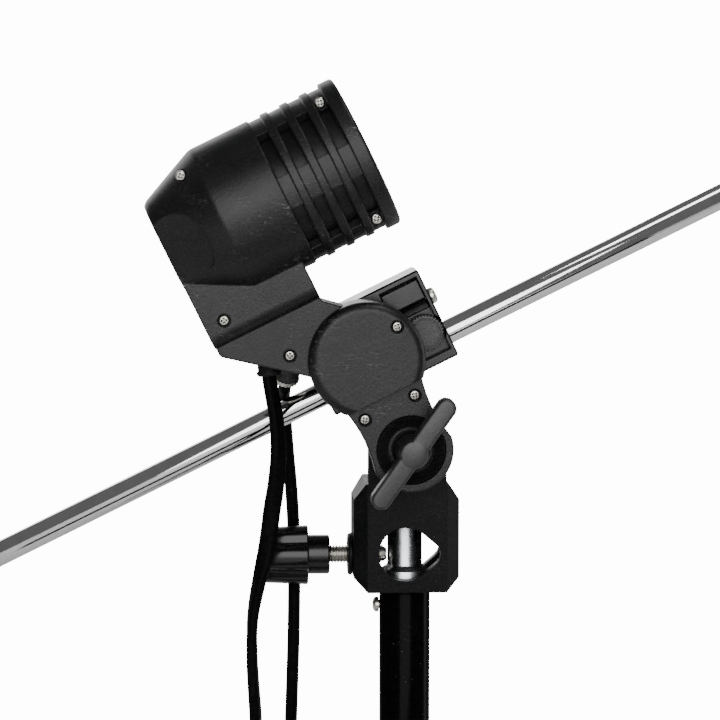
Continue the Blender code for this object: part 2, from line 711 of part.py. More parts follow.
def arm_outline():
    """Side view of the thin arm: rear corner, side boss arc, waist and lug."""
    rear = BLOCK_REAR + 0.5 * MM
    boss = (0, BOSS_HEIGHT)
    reach = BOSS_RADIUS - 0.3 * MM
    meet = -math.degrees(math.asin((BOSS_HEIGHT - BOSS_CHORD) / reach))
    left_boss = arc(boss, reach, 171, 180 - meet, 8)
    right_boss = arc(boss, reach, meet, 87, 14)
    lug = arc((0, 0), LUG_RADIUS, 188, 352, 24)
    left = bow(left_boss[-1], lug[0], 1.3 * MM, 6)
    right = bow(lug[-1], right_boss[0], 1.3 * MM, 6)
    corner = arc((rear + 2 * MM, BLOCK_BOTTOM - 1.9 * MM), 2 * MM, 180, 230, 3)
    top = LAMP_HEIGHT - BARREL_RADIUS + 6 * MM
    return ([(rear, top), *corner] + left_boss + left + lug + right + right_boss
            + [(BLOCK_FRONT, BLOCK_BOTTOM - 1.2 * MM), (BLOCK_FRONT, top)])


def casing_screw_places():
    """Along, across, and the near face's distance from the split for each screw."""
    groove = groove_starts()[-1] + GROOVE_WIDTH / 2
    reach = 20.3 * MM
    side = math.sqrt(GROOVE_FLOOR ** 2 - reach ** 2)
    return [
        (groove, LAMP_HEIGHT + reach, side),
        (groove, LAMP_HEIGHT - reach, side),
        (-26.9 * MM, LAMP_HEIGHT + 19.0 * MM, 12.6 * MM),
        (-35.1 * MM, BLOCK_BOTTOM + 7.3 * MM, BLOCK_HALF),
        (-21.4 * MM, 44.6 * MM, ARM_HALF),
        (13.3 * MM, BOSS_HEIGHT + 5.7 * MM, BOSS_FACE),
        (8.8 * MM, BOSS_CHORD - 4.2 * MM, ARM_HALF),
        (-9.0 * MM, BOSS_CHORD - 4.2 * MM, ARM_HALF)]


def screw_tip(face):
    return min(face, ARM_HALF) - 2.2 * MM


def vent_sectors(head):
    """One cutter for each vent: four round each groove, between solid blocks."""
    inner = GROOVE_FLOOR - CASING_WALL - 1.2 * MM
    outer = GROOVE_FLOOR + 1.5 * MM
    ledge = 0.15 * MM
    low = math.degrees(BLOCK_ANGLE_SIDE)
    high = 90 - math.degrees(BLOCK_ANGLE_TOP)
    sectors = []
    for number, start in enumerate(groove_starts()):
        for quarter, (first, last) in enumerate(
                [(low, high), (180 - high, 180 - low), (180 + low, 180 + high), (360 - high, 360 - low)]):
            outline = (arc((0, LAMP_HEIGHT), outer, first, last, 3)
                       + arc((0, LAMP_HEIGHT), inner, last, first, 3))
            sectors.append(slab(
                f"vent_{number}_{quarter}", head, [outline],
                start + ledge, start + GROOVE_WIDTH - ledge, FACING_X))
    return sectors


def casing_body(head):
    """The whole casing before it is split into its two shells."""
    whole = turned("casing_whole", head, barrel_profile(), (0, 0, LAMP_HEIGHT), ALONG_X, 48)

    top = LAMP_HEIGHT - BARREL_RADIUS + 13.8 * MM
    edge = BLOCK_EDGE
    section = (
        [(-BLOCK_HALF, top)] + arc((-BLOCK_HALF + edge, BLOCK_BOTTOM + edge), edge, 180, 270, 6)
        + arc((BLOCK_HALF - edge, BLOCK_BOTTOM + edge), edge, 270, 360, 6) + [(BLOCK_HALF, top)])
    join(whole, slab("arm_block", head, [section], BLOCK_REAR + 0.2 * MM, BLOCK_FRONT, FACING_X))
    join(whole, slab("arm_plate", head, [arm_outline()], -ARM_HALF, ARM_HALF, FACING_Y))

    dome = 3.2 * MM
    boss = turned(
        "side_boss", head,
        [(0, BOSS_FACE), (BOSS_RADIUS - dome, BOSS_FACE), (BOSS_RADIUS - 0.35 * dome, BOSS_FACE - 0.4 * dome),
         (BOSS_RADIUS, BOSS_FACE - dome), (BOSS_RADIUS, ARM_HALF - MM), (0, ARM_HALF - MM)],
        (0, 0, BOSS_HEIGHT), TO_FRONT, 36)
    cut(boss, box(
        "boss_chord", head, (-LUG_RADIUS * 2, -BOSS_FACE - MM, BOSS_HEIGHT - BOSS_RADIUS - MM),
        (LUG_RADIUS * 2, 0, BOSS_CHORD)))
    join(whole, boss)

    pad_outline = [
        (-30.0 * MM, 49.8 * MM), (-29.0 * MM, 43.8 * MM), (-20.0 * MM, 38.1 * MM), (-17.6 * MM, 40.4 * MM),
        (-17.6 * MM, 52 * MM), (-30.0 * MM, 56 * MM)]
    gland_pad = slab("gland_pad", head, [pad_outline], -19.9 * MM, -ARM_HALF + MM, FACING_Y)
    join(whole, gland_pad)

    wall = CASING_WALL
    bore = GROOVE_FLOOR - wall
    cut(whole, turned(
        "barrel_cavity", head,
        [(0, rim_start() + RIM_LENGTH + MM), (bore, rim_start() + RIM_LENGTH + MM), (bore, CONE_START + MM),
         (REAR_RADIUS / 2, CAVITY_REAR), (0, CAVITY_REAR)],
        (0, 0, LAMP_HEIGHT), ALONG_X, 36))
    passage = [
        (-29 * MM, LAMP_HEIGHT - 12 * MM), (-31.5 * MM, 59 * MM), (-31.5 * MM, 51 * MM),
        (-25 * MM, 49.5 * MM),
        (-13.5 * MM, 48.5 * MM), (-9.5 * MM, 60 * MM), (-9.5 * MM, LAMP_HEIGHT - 16 * MM),
        (-12 * MM, LAMP_HEIGHT - 12 * MM)]
    cut(whole, slab("lead_passage", head, [passage], -5.4 * MM, 5.4 * MM, FACING_Y))
    hollow = arc((0, BOSS_HEIGHT), 8.5 * MM, 0, 345, 23)
    cut(whole, slab("boss_hollow", head, [hollow], -5 * MM, 5 * MM, FACING_Y))

    for index, (along, up, face) in enumerate(casing_screw_places()[:3]):
        reach = face - 4.6 * MM
        join(whole, cylinder(
            f"screw_post_{index}", head, POST_RADIUS, -reach, reach, (along, 0, up), ALONG_Y, 12))
    cut(whole, *vent_sectors(head))

    slope = math.atan((BARREL_RADIUS - REAR_RADIUS) / (CONE_START - BLOCK_REAR))
    reach = BARREL_RADIUS - (CONE_START - THUMB_CENTRE[0]) * math.tan(slope)
    for side in (-1, 1):
        cut(whole, cylinder(
            f"thumb_recess_{side + 1}", head, THUMB_RADIUS, -THUMB_DEPTH, 12 * MM,
            (THUMB_CENTRE[0], side * reach, THUMB_CENTRE[1]), (-side * math.pi / 2, 0, side * slope), 36))

    cut(whole, cylinder(
        "lug_bore", head, PIVOT_BOLT_RADIUS + GAP, -ARM_HALF - MM, ARM_HALF + MM, (0, 0, 0), ALONG_Y, 20))
    cut(whole, cylinder(
        "ring_seat", head, RING_OUTER + GAP, ARM_HALF - RING_THICKNESS - GAP, ARM_HALF + MM,
        (0, 0, 0), TO_FRONT, 40))
    cut(whole, cylinder(
        "handle_recess", head, RING_INNER - GAP, ARM_HALF - RECESS_DEPTH, ARM_HALF + MM,
        (0, 0, 0), TO_FRONT, 28))
    cut(whole, cylinder(
        "thumb_pocket", head, KNURL_RADIUS + 1.4 * MM, 2.5 * MM, ARM_HALF + MM,
        (THUMB_SCREW[0], 0, THUMB_SCREW[1]), ALONG_Y, 32))

    for index, (along, up, face) in enumerate(casing_screw_places()):
        seat = face - SCREW_SUNK - SCREW_HEAD - GAP
        place = (along, 0, up)
        cut(whole, cylinder(
            f"head_hole_{index}", head, SCREW_HEAD_RADIUS + 0.4 * MM, seat, face + 4 * MM,
            place, TO_FRONT, 14))
        cut(whole, cylinder(
            f"shank_hole_{index}", head, SCREW_SHANK_RADIUS + GAP, -screw_tip(face) - GAP, seat + MM,
            place, TO_FRONT, 8))

    cut(whole, cylinder(
        "bushing_hole", head, BUSHING_NECK + GAP, -6 * MM, 14 * MM, BUSHING_PLACE, BUSHING_TURN, 24))
    cut(whole, cylinder(
        "gland_hole", head, GLAND_NECK + GAP, -4 * MM, 7 * MM, GLAND_PLACE, GLAND_TURN, 24))
    cut(whole, cylinder(
        "gland_passage", head, 2.2 * MM, 6 * MM, 20 * MM, GLAND_PLACE, GLAND_TURN, 16))
    for along in CHANNEL_SCREWS:
        cut(whole, cylinder(
            f"channel_pilot_{along:.3f}", head, SCREW_SHANK_RADIUS + GAP, ARM_HALF - 5 * MM, ARM_HALF + MM,
            (along, 0, CHANNEL_SCREW_HEIGHT), ALONG_Y, 14))
    return whole


def make_casing(head):
    whole = casing_body(head)
    bpy.context.view_layer.update()
    mesh = settled(whole)
    mesh.transform(whole.matrix_basis)
    form = bmesh.new()
    form.from_mesh(mesh)
    bmesh.ops.remove_doubles(form, verts=form.verts, dist=0.000003)
    form.to_mesh(mesh)
    form.free()
    for item in [whole] + [child for child in CUTTERS.objects if child.parent == head]:
        bpy.data.objects.remove(item, do_unlink=True)
    far_reach = 80 * MM
    for name, keep_sign in (("casing_near", -1), ("casing_far", 1)):
        shell = put(name, mesh.copy(), head)
        low, high = sorted((keep_sign * SPLIT_GAP / 2, -keep_sign * far_reach))
        discard = box(
            f"{name}_split", head, (-2 * far_reach, low, -far_reach), (2 * far_reach, high, 2 * far_reach))
        cut(shell, discard)
        dress(shell, "black_abs")
    bpy.data.meshes.remove(mesh)


def make_casing_screws(head):
    for index, (along, up, face) in enumerate(casing_screw_places()):
        top = face - SCREW_SUNK
        seat = top - SCREW_HEAD
        tip = -screw_tip(face)
        screw = turned(
            f"casing_screw_{index + 1}", head,
            [(0, top), (0.9 * MM, top - 0.1 * MM), (SCREW_HEAD_RADIUS, top - 0.8 * MM),
             (SCREW_HEAD_RADIUS, seat), (SCREW_SHANK_RADIUS, seat), (SCREW_SHANK_RADIUS, tip + MM), (0, tip)],
            (along, 0, up), TO_FRONT, 14)
        dress(screw, "zinc")


def make_friction_ring(head):
    """A flat ring with a fine radial serration on its near face."""
    profile = [
        (RING_OUTER, -RING_THICKNESS / 2), (RING_OUTER, RING_THICKNESS / 2),
        (RING_INNER, RING_THICKNESS / 2), (RING_INNER, -RING_THICKNESS / 2)]
    form = bmesh.new()
    corners = [form.verts.new((radius, 0, height)) for radius, height in profile]
    edges = [form.edges.new((corners[i], corners[(i + 1) % 4])) for i in range(4)]
    bmesh.ops.spin(
        form, geom=corners + edges, cent=(0, 0, 0), axis=(0, 0, 1), dvec=(0, 0, 0),
        angle=2 * math.pi, steps=2 * RING_TEETH, use_merge=True)
    for vert in form.verts:
        turn = round(math.atan2(vert.co.y, vert.co.x) / (math.pi / RING_TEETH))
        if vert.co.z > 0 and turn % 2:
            vert.co.z -= 0.5 * MM
    bmesh.ops.recalc_face_normals(form, faces=form.faces)
    mesh = bpy.data.meshes.new("friction_ring")
    form.to_mesh(mesh)
    form.free()
    middle = ARM_HALF - RING_THICKNESS / 2
    dress(put("friction_ring", mesh, head, (0, -middle, 0), TO_FRONT), "black_abs")


# ---------------------------------------------------------------- socket

def make_socket(head):
    place = (0, 0, LAMP_HEIGHT)
    front = rim_start() + RIM_LENGTH - MM
    rear = BARREL_FRONT - 4 * MM
    inner = LINER_RADIUS - LINER_WALL
    hole = SOCKET_RADIUS + GAP
    liner = turned(
        "socket_liner", head,
        [(LINER_RADIUS, front), (LINER_RADIUS, rear), (hole, rear), (hole, rear + 2 * MM),
         (inner, rear + 2 * MM), (inner, front)], place, ALONG_X, 40, ring=True)
    groove = groove_starts()[-1] + GROOVE_WIDTH / 2
    half = POST_RADIUS + 0.6 * MM
    edge = 20.3 * MM - POST_RADIUS - 0.5 * MM
    for side in (-1, 1):
        low, high = sorted((side * edge, side * (LINER_RADIUS + MM)))
        cut(liner, box(
            f"liner_notch_{side + 1}", head, (groove - half, -BARREL_RADIUS, LAMP_HEIGHT + low),
            (groove + half, BARREL_RADIUS, LAMP_HEIGHT + high)))
    dress(liner, "black_abs")

    seat = SHELL_RADIUS + SHELL_WALL + GAP
    floor = SOCKET_REAR + 6 * MM
    body = turned(
        "socket_body", head,
        [(SOCKET_RADIUS, SOCKET_MOUTH), (SOCKET_RADIUS, SOCKET_REAR + MM), (SOCKET_RADIUS - MM, SOCKET_REAR),
         (2.2 * MM, SOCKET_REAR), (2.2 * MM, floor), (seat, floor), (seat, SOCKET_MOUTH)],
        place, ALONG_X, 36, ring=True)
    for side in (-1, 1):
        cut(body, cylinder(
            f"terminal_hole_{side + 1}", head, 1.8 * MM, SOCKET_REAR - MM, SOCKET_REAR + 4 * MM,
            (0, side * 9 * MM, LAMP_HEIGHT), ALONG_X, 16))
    dress(body, "ceramic")

    crest = SHELL_RADIUS
    start = floor + GAP
    wave = []
    for index in range(THREAD_TURNS * 4 + 1):
        height = start + 1.5 * MM + index * THREAD_PITCH / 4
        wave.append((crest - THREAD_DEPTH / 2 * (1 - math.cos(index * math.pi / 2)), height))
    mouth = (crest + SHELL_WALL, SOCKET_MOUTH - MM)
    outer = [mouth] + [(radius + SHELL_WALL, height) for radius, height in reversed(wave)]
    inner_side = [(radius, height) for radius, height in wave] + [(crest, SOCKET_MOUTH - MM)]
    shell = turned(
        "lamp_shell", head, outer + [(crest + SHELL_WALL, start), (crest, start)] + inner_side,
        place, ALONG_X, 24, ring=True)
    dress(shell, "brass")

    contact = turned(
        "centre_contact", head,
        [(0, floor + 3.2 * MM), (3.2 * MM, floor + 2.6 * MM), (4.0 * MM, floor + GAP),
         (1.8 * MM, floor + GAP), (1.8 * MM, SOCKET_REAR - 2 * MM), (0, SOCKET_REAR - 2 * MM)],
        place, ALONG_X, 24)
    dress(contact, "brass")

    for side in (-1, 1):
        head_top = SOCKET_REAR - GAP
        screw = turned(
            f"terminal_screw_{(side + 3) // 2}", head,
            [(0, SOCKET_REAR + 3.6 * MM), (1.5 * MM, SOCKET_REAR + 3.6 * MM), (1.5 * MM, head_top),
             (2.8 * MM, head_top), (2.8 * MM, head_top - 1.6 * MM), (0, head_top - 2.0 * MM)],
            (0, side * 9 * MM, LAMP_HEIGHT), ALONG_X, 16)
        dress(screw, "brass")


# ---------------------------------------------------------------- rod clamp

def make_clamp(head):
    front = ARM_HALF + GAP
    low = (CHANNEL_LEFT, front, CHANNEL_BOTTOM)
    high = (CHANNEL_RIGHT, CHANNEL_BACK, CHANNEL_TOP)
    channel = box("clamp_channel", head, low, high)
    soften = channel.modifiers.new("soften", "BEVEL")
    soften.width = 0.6 * MM
    soften.segments = 1
    wall = CHANNEL_WALL
    rod_front = ROD_Y - ROD_RADIUS
    bridge_back = BRIDGE_FRONT + 1.7 * MM
    cut(channel, box(
        "channel_hollow", head,
        (CHANNEL_LEFT + CHANNEL_END, front + wall, CHANNEL_BOTTOM + wall),
        (CHANNEL_RIGHT - CHANNEL_END, CHANNEL_BACK - wall, CHANNEL_TOP - wall)))
    cut(channel, box(
        "channel_notch", head, (NOTCH_LEFT, front - MM, CHANNEL_BOTTOM + wall + MM),
        (CHANNEL_RIGHT - CHANNEL_END, BRIDGE_FRONT - MM, CHANNEL_TOP - wall)))
    cut(channel, cylinder(
        "knob_room", head, KNURL_RADIUS + 0.6 * MM, front - MM, BRIDGE_FRONT - GAP,
        (THUMB_SCREW[0], 0, THUMB_SCREW[1]), ALONG_Y, 32))
    join(channel, box(
        "channel_bridge", head, (NOTCH_LEFT - 2 * MM, BRIDGE_FRONT, CHANNEL_BOTTOM + MM),
        (CHANNEL_RIGHT - MM, bridge_back, BAR_LOW - GAP)))
    join(channel, box(
        "channel_web", head, (NOTCH_LEFT - 2 * MM, front + MM, CHANNEL_BOTTOM + MM),
        (NOTCH_LEFT, bridge_back, BAR_LOW - GAP)))
    cut(channel, cylinder(
        "rod_hole", head, ROD_RADIUS + GAP, CHANNEL_LEFT - MM, CHANNEL_RIGHT + MM,
        (0, ROD_Y, ROD_HEIGHT), ALONG_X, 36))
    cut(channel, cylinder(
        "thumb_thread", head, THUMB_THREAD_RADIUS + GAP, BRIDGE_FRONT - MM, bridge_back + MM,
        (THUMB_SCREW[0], 0, THUMB_SCREW[1]), ALONG_Y, 24))
    cut(channel, cylinder(
        "end_screw_hole", head, 1.5 * MM + GAP, CHANNEL_LEFT - MM, CHANNEL_RIGHT + MM,
        (0, END_SCREW[1], END_SCREW[0]), ALONG_X, 20))
    for index, along in enumerate(CHANNEL_SCREWS):
        cut(channel, cylinder(
            f"channel_screw_hole_{index}", head, SCREW_SHANK_RADIUS + GAP, front - MM, front + wall + MM,
            (along, 0, CHANNEL_SCREW_HEIGHT), ALONG_Y, 14))
        cut(channel, cylinder(
            f"driver_hole_{index}", head, SCREW_HEAD_RADIUS + MM, CHANNEL_BACK - wall - MM, CHANNEL_BACK + MM,
            (along, 0, CHANNEL_SCREW_HEIGHT), ALONG_Y, 20))
    dress(channel, "gloss_plastic")

    bar_left = NOTCH_LEFT + 0.5 * MM
    bar_right = CHANNEL_RIGHT - CHANNEL_END - GAP
    bar = box("clamp_bar", head, (bar_left, BAR_FRONT, BAR_STEP), (bar_right, BAR_BACK, BAR_HIGH))
    join(bar, box(
        "bar_step", head, (bar_left, BAR_FRONT + 2.5 * MM, BAR_LOW), (bar_right, BAR_BACK, BAR_STEP + MM)))
    cut(bar, cylinder(
        "bar_screw_hole", head, 1.5 * MM + GAP, bar_left + 3 * MM, bar_right + MM,
        (0, END_SCREW[1], END_SCREW[0]), ALONG_X, 20))
    dress(bar, "gloss_plastic")

    seat = CHANNEL_RIGHT + GAP
    end_screw = turned(
        "clamp_end_screw", head,
        [(0, seat + 1.9 * MM), (1.3 * MM, seat + 1.6 * MM), (2.3 * MM, seat + 0.8 * MM),
         (2.7 * MM, seat), (1.5 * MM, seat), (1.5 * MM, bar_left + 4 * MM), (0, bar_left + 3.5 * MM)],
        (0, END_SCREW[1], END_SCREW[0]), ALONG_X, 20)
    dress(end_screw, "zinc")

    for index, along in enumerate(CHANNEL_SCREWS):
        under = front + wall + GAP
        screw = turned(
            f"channel_screw_{index + 1}", head,
            [(0, under + 1.5 * MM), (1.2 * MM, under + 1.3 * MM), (SCREW_HEAD_RADIUS, under + 0.6 * MM),
             (SCREW_HEAD_RADIUS, under), (SCREW_SHANK_RADIUS, under),
             (SCREW_SHANK_RADIUS, ARM_HALF - 4 * MM), (0, ARM_HALF - 4.5 * MM)],
            (along, 0, CHANNEL_SCREW_HEIGHT), ALONG_Y, 14)
        dress(screw, "zinc")

    jaw = box(
        "clamp_jaw", head,
        (THUMB_SCREW[0] - 4.2 * MM, JAW_FRONT, THUMB_SCREW[1] - 3.4 * MM),
        (THUMB_SCREW[0] + 4.2 * MM, ROD_Y + 1.5 * MM, THUMB_SCREW[1] + 3.4 * MM))
    cut(jaw, cylinder(
        "jaw_groove", head, ROD_RADIUS + GAP, CHANNEL_LEFT, CHANNEL_RIGHT,
        (0, ROD_Y, ROD_HEIGHT), ALONG_X, 36))
    dress(jaw, "grey_plastic")

    back = KNURL_FRONT + KNURL_LENGTH
    knurl = slab(
        "thumb_screw", head, [lobed(KNURL_RADIUS, 0.45 * MM, KNURL_TEETH, 2 * KNURL_TEETH)],
        KNURL_FRONT, back, ALONG_Y, (THUMB_SCREW[0], 0, THUMB_SCREW[1]))
    place = (THUMB_SCREW[0], 0, THUMB_SCREW[1])
    ring_groove = turned(
        "knurl_groove", head,
        [(KNURL_FACE_RADIUS + 0.7 * MM, KNURL_FRONT + 0.6 * MM),
         (KNURL_FACE_RADIUS + 0.7 * MM, KNURL_FRONT - MM),
         (KNURL_FACE_RADIUS, KNURL_FRONT - MM), (KNURL_FACE_RADIUS, KNURL_FRONT + 0.6 * MM)],
        place, ALONG_Y, 24, ring=True)
    cut(knurl, ring_groove)
    join(knurl, cylinder(
        "thumb_shank", head, THUMB_THREAD_RADIUS, back - MM, JAW_FRONT - GAP, place, ALONG_Y, 20))
    dress(knurl, "gloss_plastic")


def make_rod(head):
    half = ROD_LENGTH / 2
    place = (ROD_CENTRE, ROD_Y, ROD_HEIGHT)
    bore = ROD_RADIUS - ROD_WALL
    rod = turned(
        "accessory_rod", head,
        [(ROD_RADIUS, half), (ROD_RADIUS, -half), (bore, -half), (bore, half)], place, ALONG_X, 32, ring=True)
    dress(rod, "chrome")
    for name, side in (("rod_cap_right", 1), ("rod_cap_left", -1)):
        turn = (0, side * math.pi / 2, 0)
        start = half + GAP
        cap = turned(
            name, head,
            [(0, start + 1.8 * MM), (ROD_RADIUS - MM, start + 1.6 * MM), (ROD_RADIUS - 0.1 * MM, start + MM),
             (ROD_RADIUS - 0.1 * MM, start), (bore - GAP, start), (bore - GAP, start - 7 * MM),
             (bore - MM, start - 8 * MM), (0, start - 8 * MM)], place, turn, 24)
        dress(cap, "rubber")


# ---------------------------------------------------------------- leads

def make_lead_outlets(head):
    bushing = turned(
        "lead_bushing", head,
        [(BUSHING_NECK, 5 * MM), (BUSHING_NECK, -0.2 * MM), (BUSHING_FLANGE, -0.7 * MM),
         (BUSHING_FLANGE - 0.3 * MM, -1.6 * MM), (BUSHING_NECK, -1.9 * MM),
         (BUSHING_NECK - 0.8 * MM, -1.9 * MM),
         (BUSHING_NECK - 0.8 * MM, 5 * MM)], BUSHING_PLACE, BUSHING_TURN, 18, ring=True)
    dress(bushing, "rubber")
    body = turned(
        "lead_gland", head,
        [(GLAND_NECK, 6 * MM), (GLAND_NECK, 0), (GLAND_RADIUS - 0.9 * MM, -0.4 * MM),
         (GLAND_RADIUS, -1.6 * MM), (GLAND_RADIUS, -2.6 * MM), (GLAND_NECK - 0.7 * MM, -2.6 * MM),
         (GLAND_NECK - 0.7 * MM, 6 * MM)],
        GLAND_PLACE, GLAND_TURN, 18, ring=True)
    dress(body, "grey_plastic")
    nut = slab(
        "gland_nut", head,
        [lobed(GLAND_RADIUS + 0.2 * MM, 0.35 * MM, 20, 40), arc((0, 0), GLAND_NECK - 0.6 * MM, 0, 337.5, 15)],
        -4.4 * MM, -2.9 * MM, GLAND_TURN, GLAND_PLACE)
    dress(nut, "zinc")


def make_lead_a(frame):
    dress(cord("lead_a", frame, LEAD_A_ROUTE, LEAD_A_DIAMETER), "pvc")
    dress(cord("lead_a_tail", frame, TAIL_ROUTE, LEAD_A_DIAMETER), "pvc")

    edge = 2.5 * MM
    inner = COIL_MEAN_RADIUS - COIL_HALF_RADIAL
    outer = COIL_MEAN_RADIUS + COIL_HALF_RADIAL
    section = (arc((outer - edge, COIL_HALF_AXIAL - edge), edge, 90, 0, 2)
               + arc((outer - edge, -COIL_HALF_AXIAL + edge), edge, 0, -90, 2)
               + arc((inner + edge, -COIL_HALF_AXIAL + edge), edge, -90, -180, 2)
               + arc((inner + edge, COIL_HALF_AXIAL - edge), edge, 180, 90, 2))
    coil = turned("lead_a_coil", frame, section, COIL_CENTRE, TO_FRONT, 40, ring=True)
    dress(coil, "pvc")

    room = 0.6 * MM
    inside = rounded(COIL_HALF_AXIAL + room, -COIL_HALF_RADIAL - room, COIL_HALF_RADIAL + room, edge, 3)
    outside = rounded(
        COIL_HALF_AXIAL + room + TIE_WALL, -COIL_HALF_RADIAL - room - TIE_WALL,
        COIL_HALF_RADIAL + room + TIE_WALL, edge + TIE_WALL, 3)
    place = (COIL_CENTRE[0] + COIL_MEAN_RADIUS * math.cos(TIE_ANGLE), COIL_CENTRE[1],
             COIL_CENTRE[2] + COIL_MEAN_RADIUS * math.sin(TIE_ANGLE))
    tie = slab("coil_tie", frame, [outside, inside], -TIE_WIDTH / 2, TIE_WIDTH / 2, (0, 0, 0), place)
    lay = Matrix.Rotation(math.pi / 2 - TIE_ANGLE, 3, "Y") @ Matrix(((0, 0, 1), (1, 0, 0), (0, 1, 0)))
    tie.rotation_euler = lay.to_euler()
    dress(tie, "webbing")

    centre = TAIL_ROUTE[0][0] * MM
    neck = turned(
        "plug_body", frame,
        [(0, PLUG_NECK_TOP), (3.4 * MM, PLUG_NECK_TOP), (4.2 * MM, PLUG_BODY_TOP + 2 * MM),
         (5.5 * MM, PLUG_BODY_TOP - 3 * MM), (0, PLUG_BODY_TOP - 3 * MM)], (centre, TAIL_Y, 0), steps=24)
    slope = [(-PLUG_HALF_WIDTH, PLUG_FACE), (PLUG_HALF_WIDTH, PLUG_FACE),
             (PLUG_HALF_WIDTH, PLUG_FACE + 12 * MM),
             (6 * MM, PLUG_BODY_TOP), (-6 * MM, PLUG_BODY_TOP), (-PLUG_HALF_WIDTH, PLUG_FACE + 12 * MM)]
    block = slab(
        "plug_block", frame, [slope], -PLUG_HALF_DEPTH, PLUG_HALF_DEPTH, FACING_Y, (centre, TAIL_Y, 0))
    soften = block.modifiers.new("soften", "BEVEL")
    soften.width = 1.5 * MM
    soften.segments = 2
    soften.limit_method = "ANGLE"
    join(neck, block)
    for side in (-1, 1):
        cut(neck, cylinder(
            f"pin_hole_{side + 1}", frame, PIN_RADIUS + GAP, PLUG_FACE - MM, PLUG_FACE + 8 * MM,
            (centre + side * PIN_SPACING / 2, TAIL_Y, 0), (0, 0, 0), 16))
    dress(neck, "pvc")
    for side in (-1, 1):
        pin = turned(
            f"plug_pin_{(side + 3) // 2}", frame,
            [(0, PLUG_FACE + 7.6 * MM), (PIN_RADIUS, PLUG_FACE + 7.6 * MM),
             (PIN_RADIUS, PLUG_FACE - PIN_LENGTH + 1.4 * MM),
             (PIN_RADIUS - MM, PLUG_FACE - PIN_LENGTH + 0.4 * MM),
             (0, PLUG_FACE - PIN_LENGTH)], (centre + side * PIN_SPACING / 2, TAIL_Y, 0), steps=16)
        dress(pin, "brass")


def switch_place():
    last = LEAD_B_ROUTE[-1]
    return Vector((last[0] * MM, last[1] * MM, SWITCH_TOP - SWITCH_LENGTH / 2))


def make_lead_b(frame):
    dress(cord("lead_b", frame, LEAD_B_ROUTE, LEAD_B_DIAMETER), "pvc")
    centre = switch_place()
    half = SWITCH_LENGTH / 2
    outline = rounded(SWITCH_HALF_WIDTH, -half, half, 5 * MM, 5)
    window = [
        (-ROCKER_HALF_WIDTH - 0.5 * MM, -ROCKER_HALF_LENGTH - 0.7 * MM),
        (ROCKER_HALF_WIDTH + 0.5 * MM, -ROCKER_HALF_LENGTH - 0.7 * MM),
        (ROCKER_HALF_WIDTH + 0.5 * MM, ROCKER_HALF_LENGTH + 0.7 * MM),
        (-ROCKER_HALF_WIDTH - 0.5 * MM, ROCKER_HALF_LENGTH + 0.7 * MM)]
    cover = slab(
        "switch_cover", frame, [outline, window], GAP / 2, SWITCH_HALF_DEPTH, TO_FRONT, centre)
    dress(cover, "gloss_plastic")
    base = slab("switch_base", frame, [outline], -SWITCH_HALF_DEPTH, -GAP / 2, TO_FRONT, centre)
    dress(base, "gloss_plastic")


def make_rocker(frame):
    """The rocker's own frame is its pin; it rests with its upper end pressed."""
    top = 4.6 * MM
    side = [(-ROCKER_HALF_LENGTH, top), (-ROCKER_HALF_LENGTH, 1.2 * MM), (-3.0 * MM, -1.6 * MM),
            (3.0 * MM, -1.6 * MM), (ROCKER_HALF_LENGTH, 1.2 * MM), (ROCKER_HALF_LENGTH, top),
            (0, top - 0.9 * MM)]
    outline = [(-across, up) for up, across in side]
    rocker = slab("switch_rocker", frame, [outline], -ROCKER_HALF_WIDTH, ROCKER_HALF_WIDTH, FACING_X)
    dress(rocker, "grey_plastic")


# ---------------------------------------------------------------- build

def build():
    world = new_frame("stand_frame")
    bracket = new_frame("bracket_frame", world, (0, 0, TUBE_LENGTH))
    head = new_frame(
        "head_frame", bracket, (0, ARM_Y, PIVOT_HEIGHT), (0, -REST_TILT, 0))
    make_casing(head)
    make_stand(world)
    make_bracket(bracket)
    make_clamp_screw(bracket)
    make_tilt_lock(bracket)
    make_casing_screws(head)
    make_friction_ring(head)
    make_socket(head)
    make_clamp(head)
    make_rod(head)
    make_lead_outlets(head)
    make_lead_a(bracket)
    make_lead_b(bracket)
    pin = switch_place() + Vector((0, -3.4 * MM, 0))
    make_rocker(new_frame("rocker_frame", bracket, pin, (ROCKER_REST, 0, 0)))


clear_scene()
PARTS = new_collection("studio_lamp_holder")
CUTTERS = new_collection("cutters")
build()
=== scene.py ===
import math

import bmesh
import bpy
from bpy.props import FloatProperty, FloatVectorProperty, IntProperty, PointerProperty
from mathutils import Euler, Matrix, Vector


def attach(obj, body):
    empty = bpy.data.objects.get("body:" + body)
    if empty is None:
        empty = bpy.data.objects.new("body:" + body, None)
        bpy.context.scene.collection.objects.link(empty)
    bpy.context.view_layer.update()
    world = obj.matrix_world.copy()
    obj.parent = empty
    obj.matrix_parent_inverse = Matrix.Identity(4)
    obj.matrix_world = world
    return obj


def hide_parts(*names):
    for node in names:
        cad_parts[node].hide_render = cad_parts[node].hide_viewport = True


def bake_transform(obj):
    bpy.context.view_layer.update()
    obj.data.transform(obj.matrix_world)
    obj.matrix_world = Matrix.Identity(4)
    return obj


bl_info = {
    "name": "Studio lamp holder",
    "version": (1, 0, 0),
    "blender": (4, 5, 0),
    "location": "View3D > Sidebar > Lamp holder",
    "description": "Finishes a studio lamp holder with its leads, rod clamp and stand",
    "category": "Object",
}

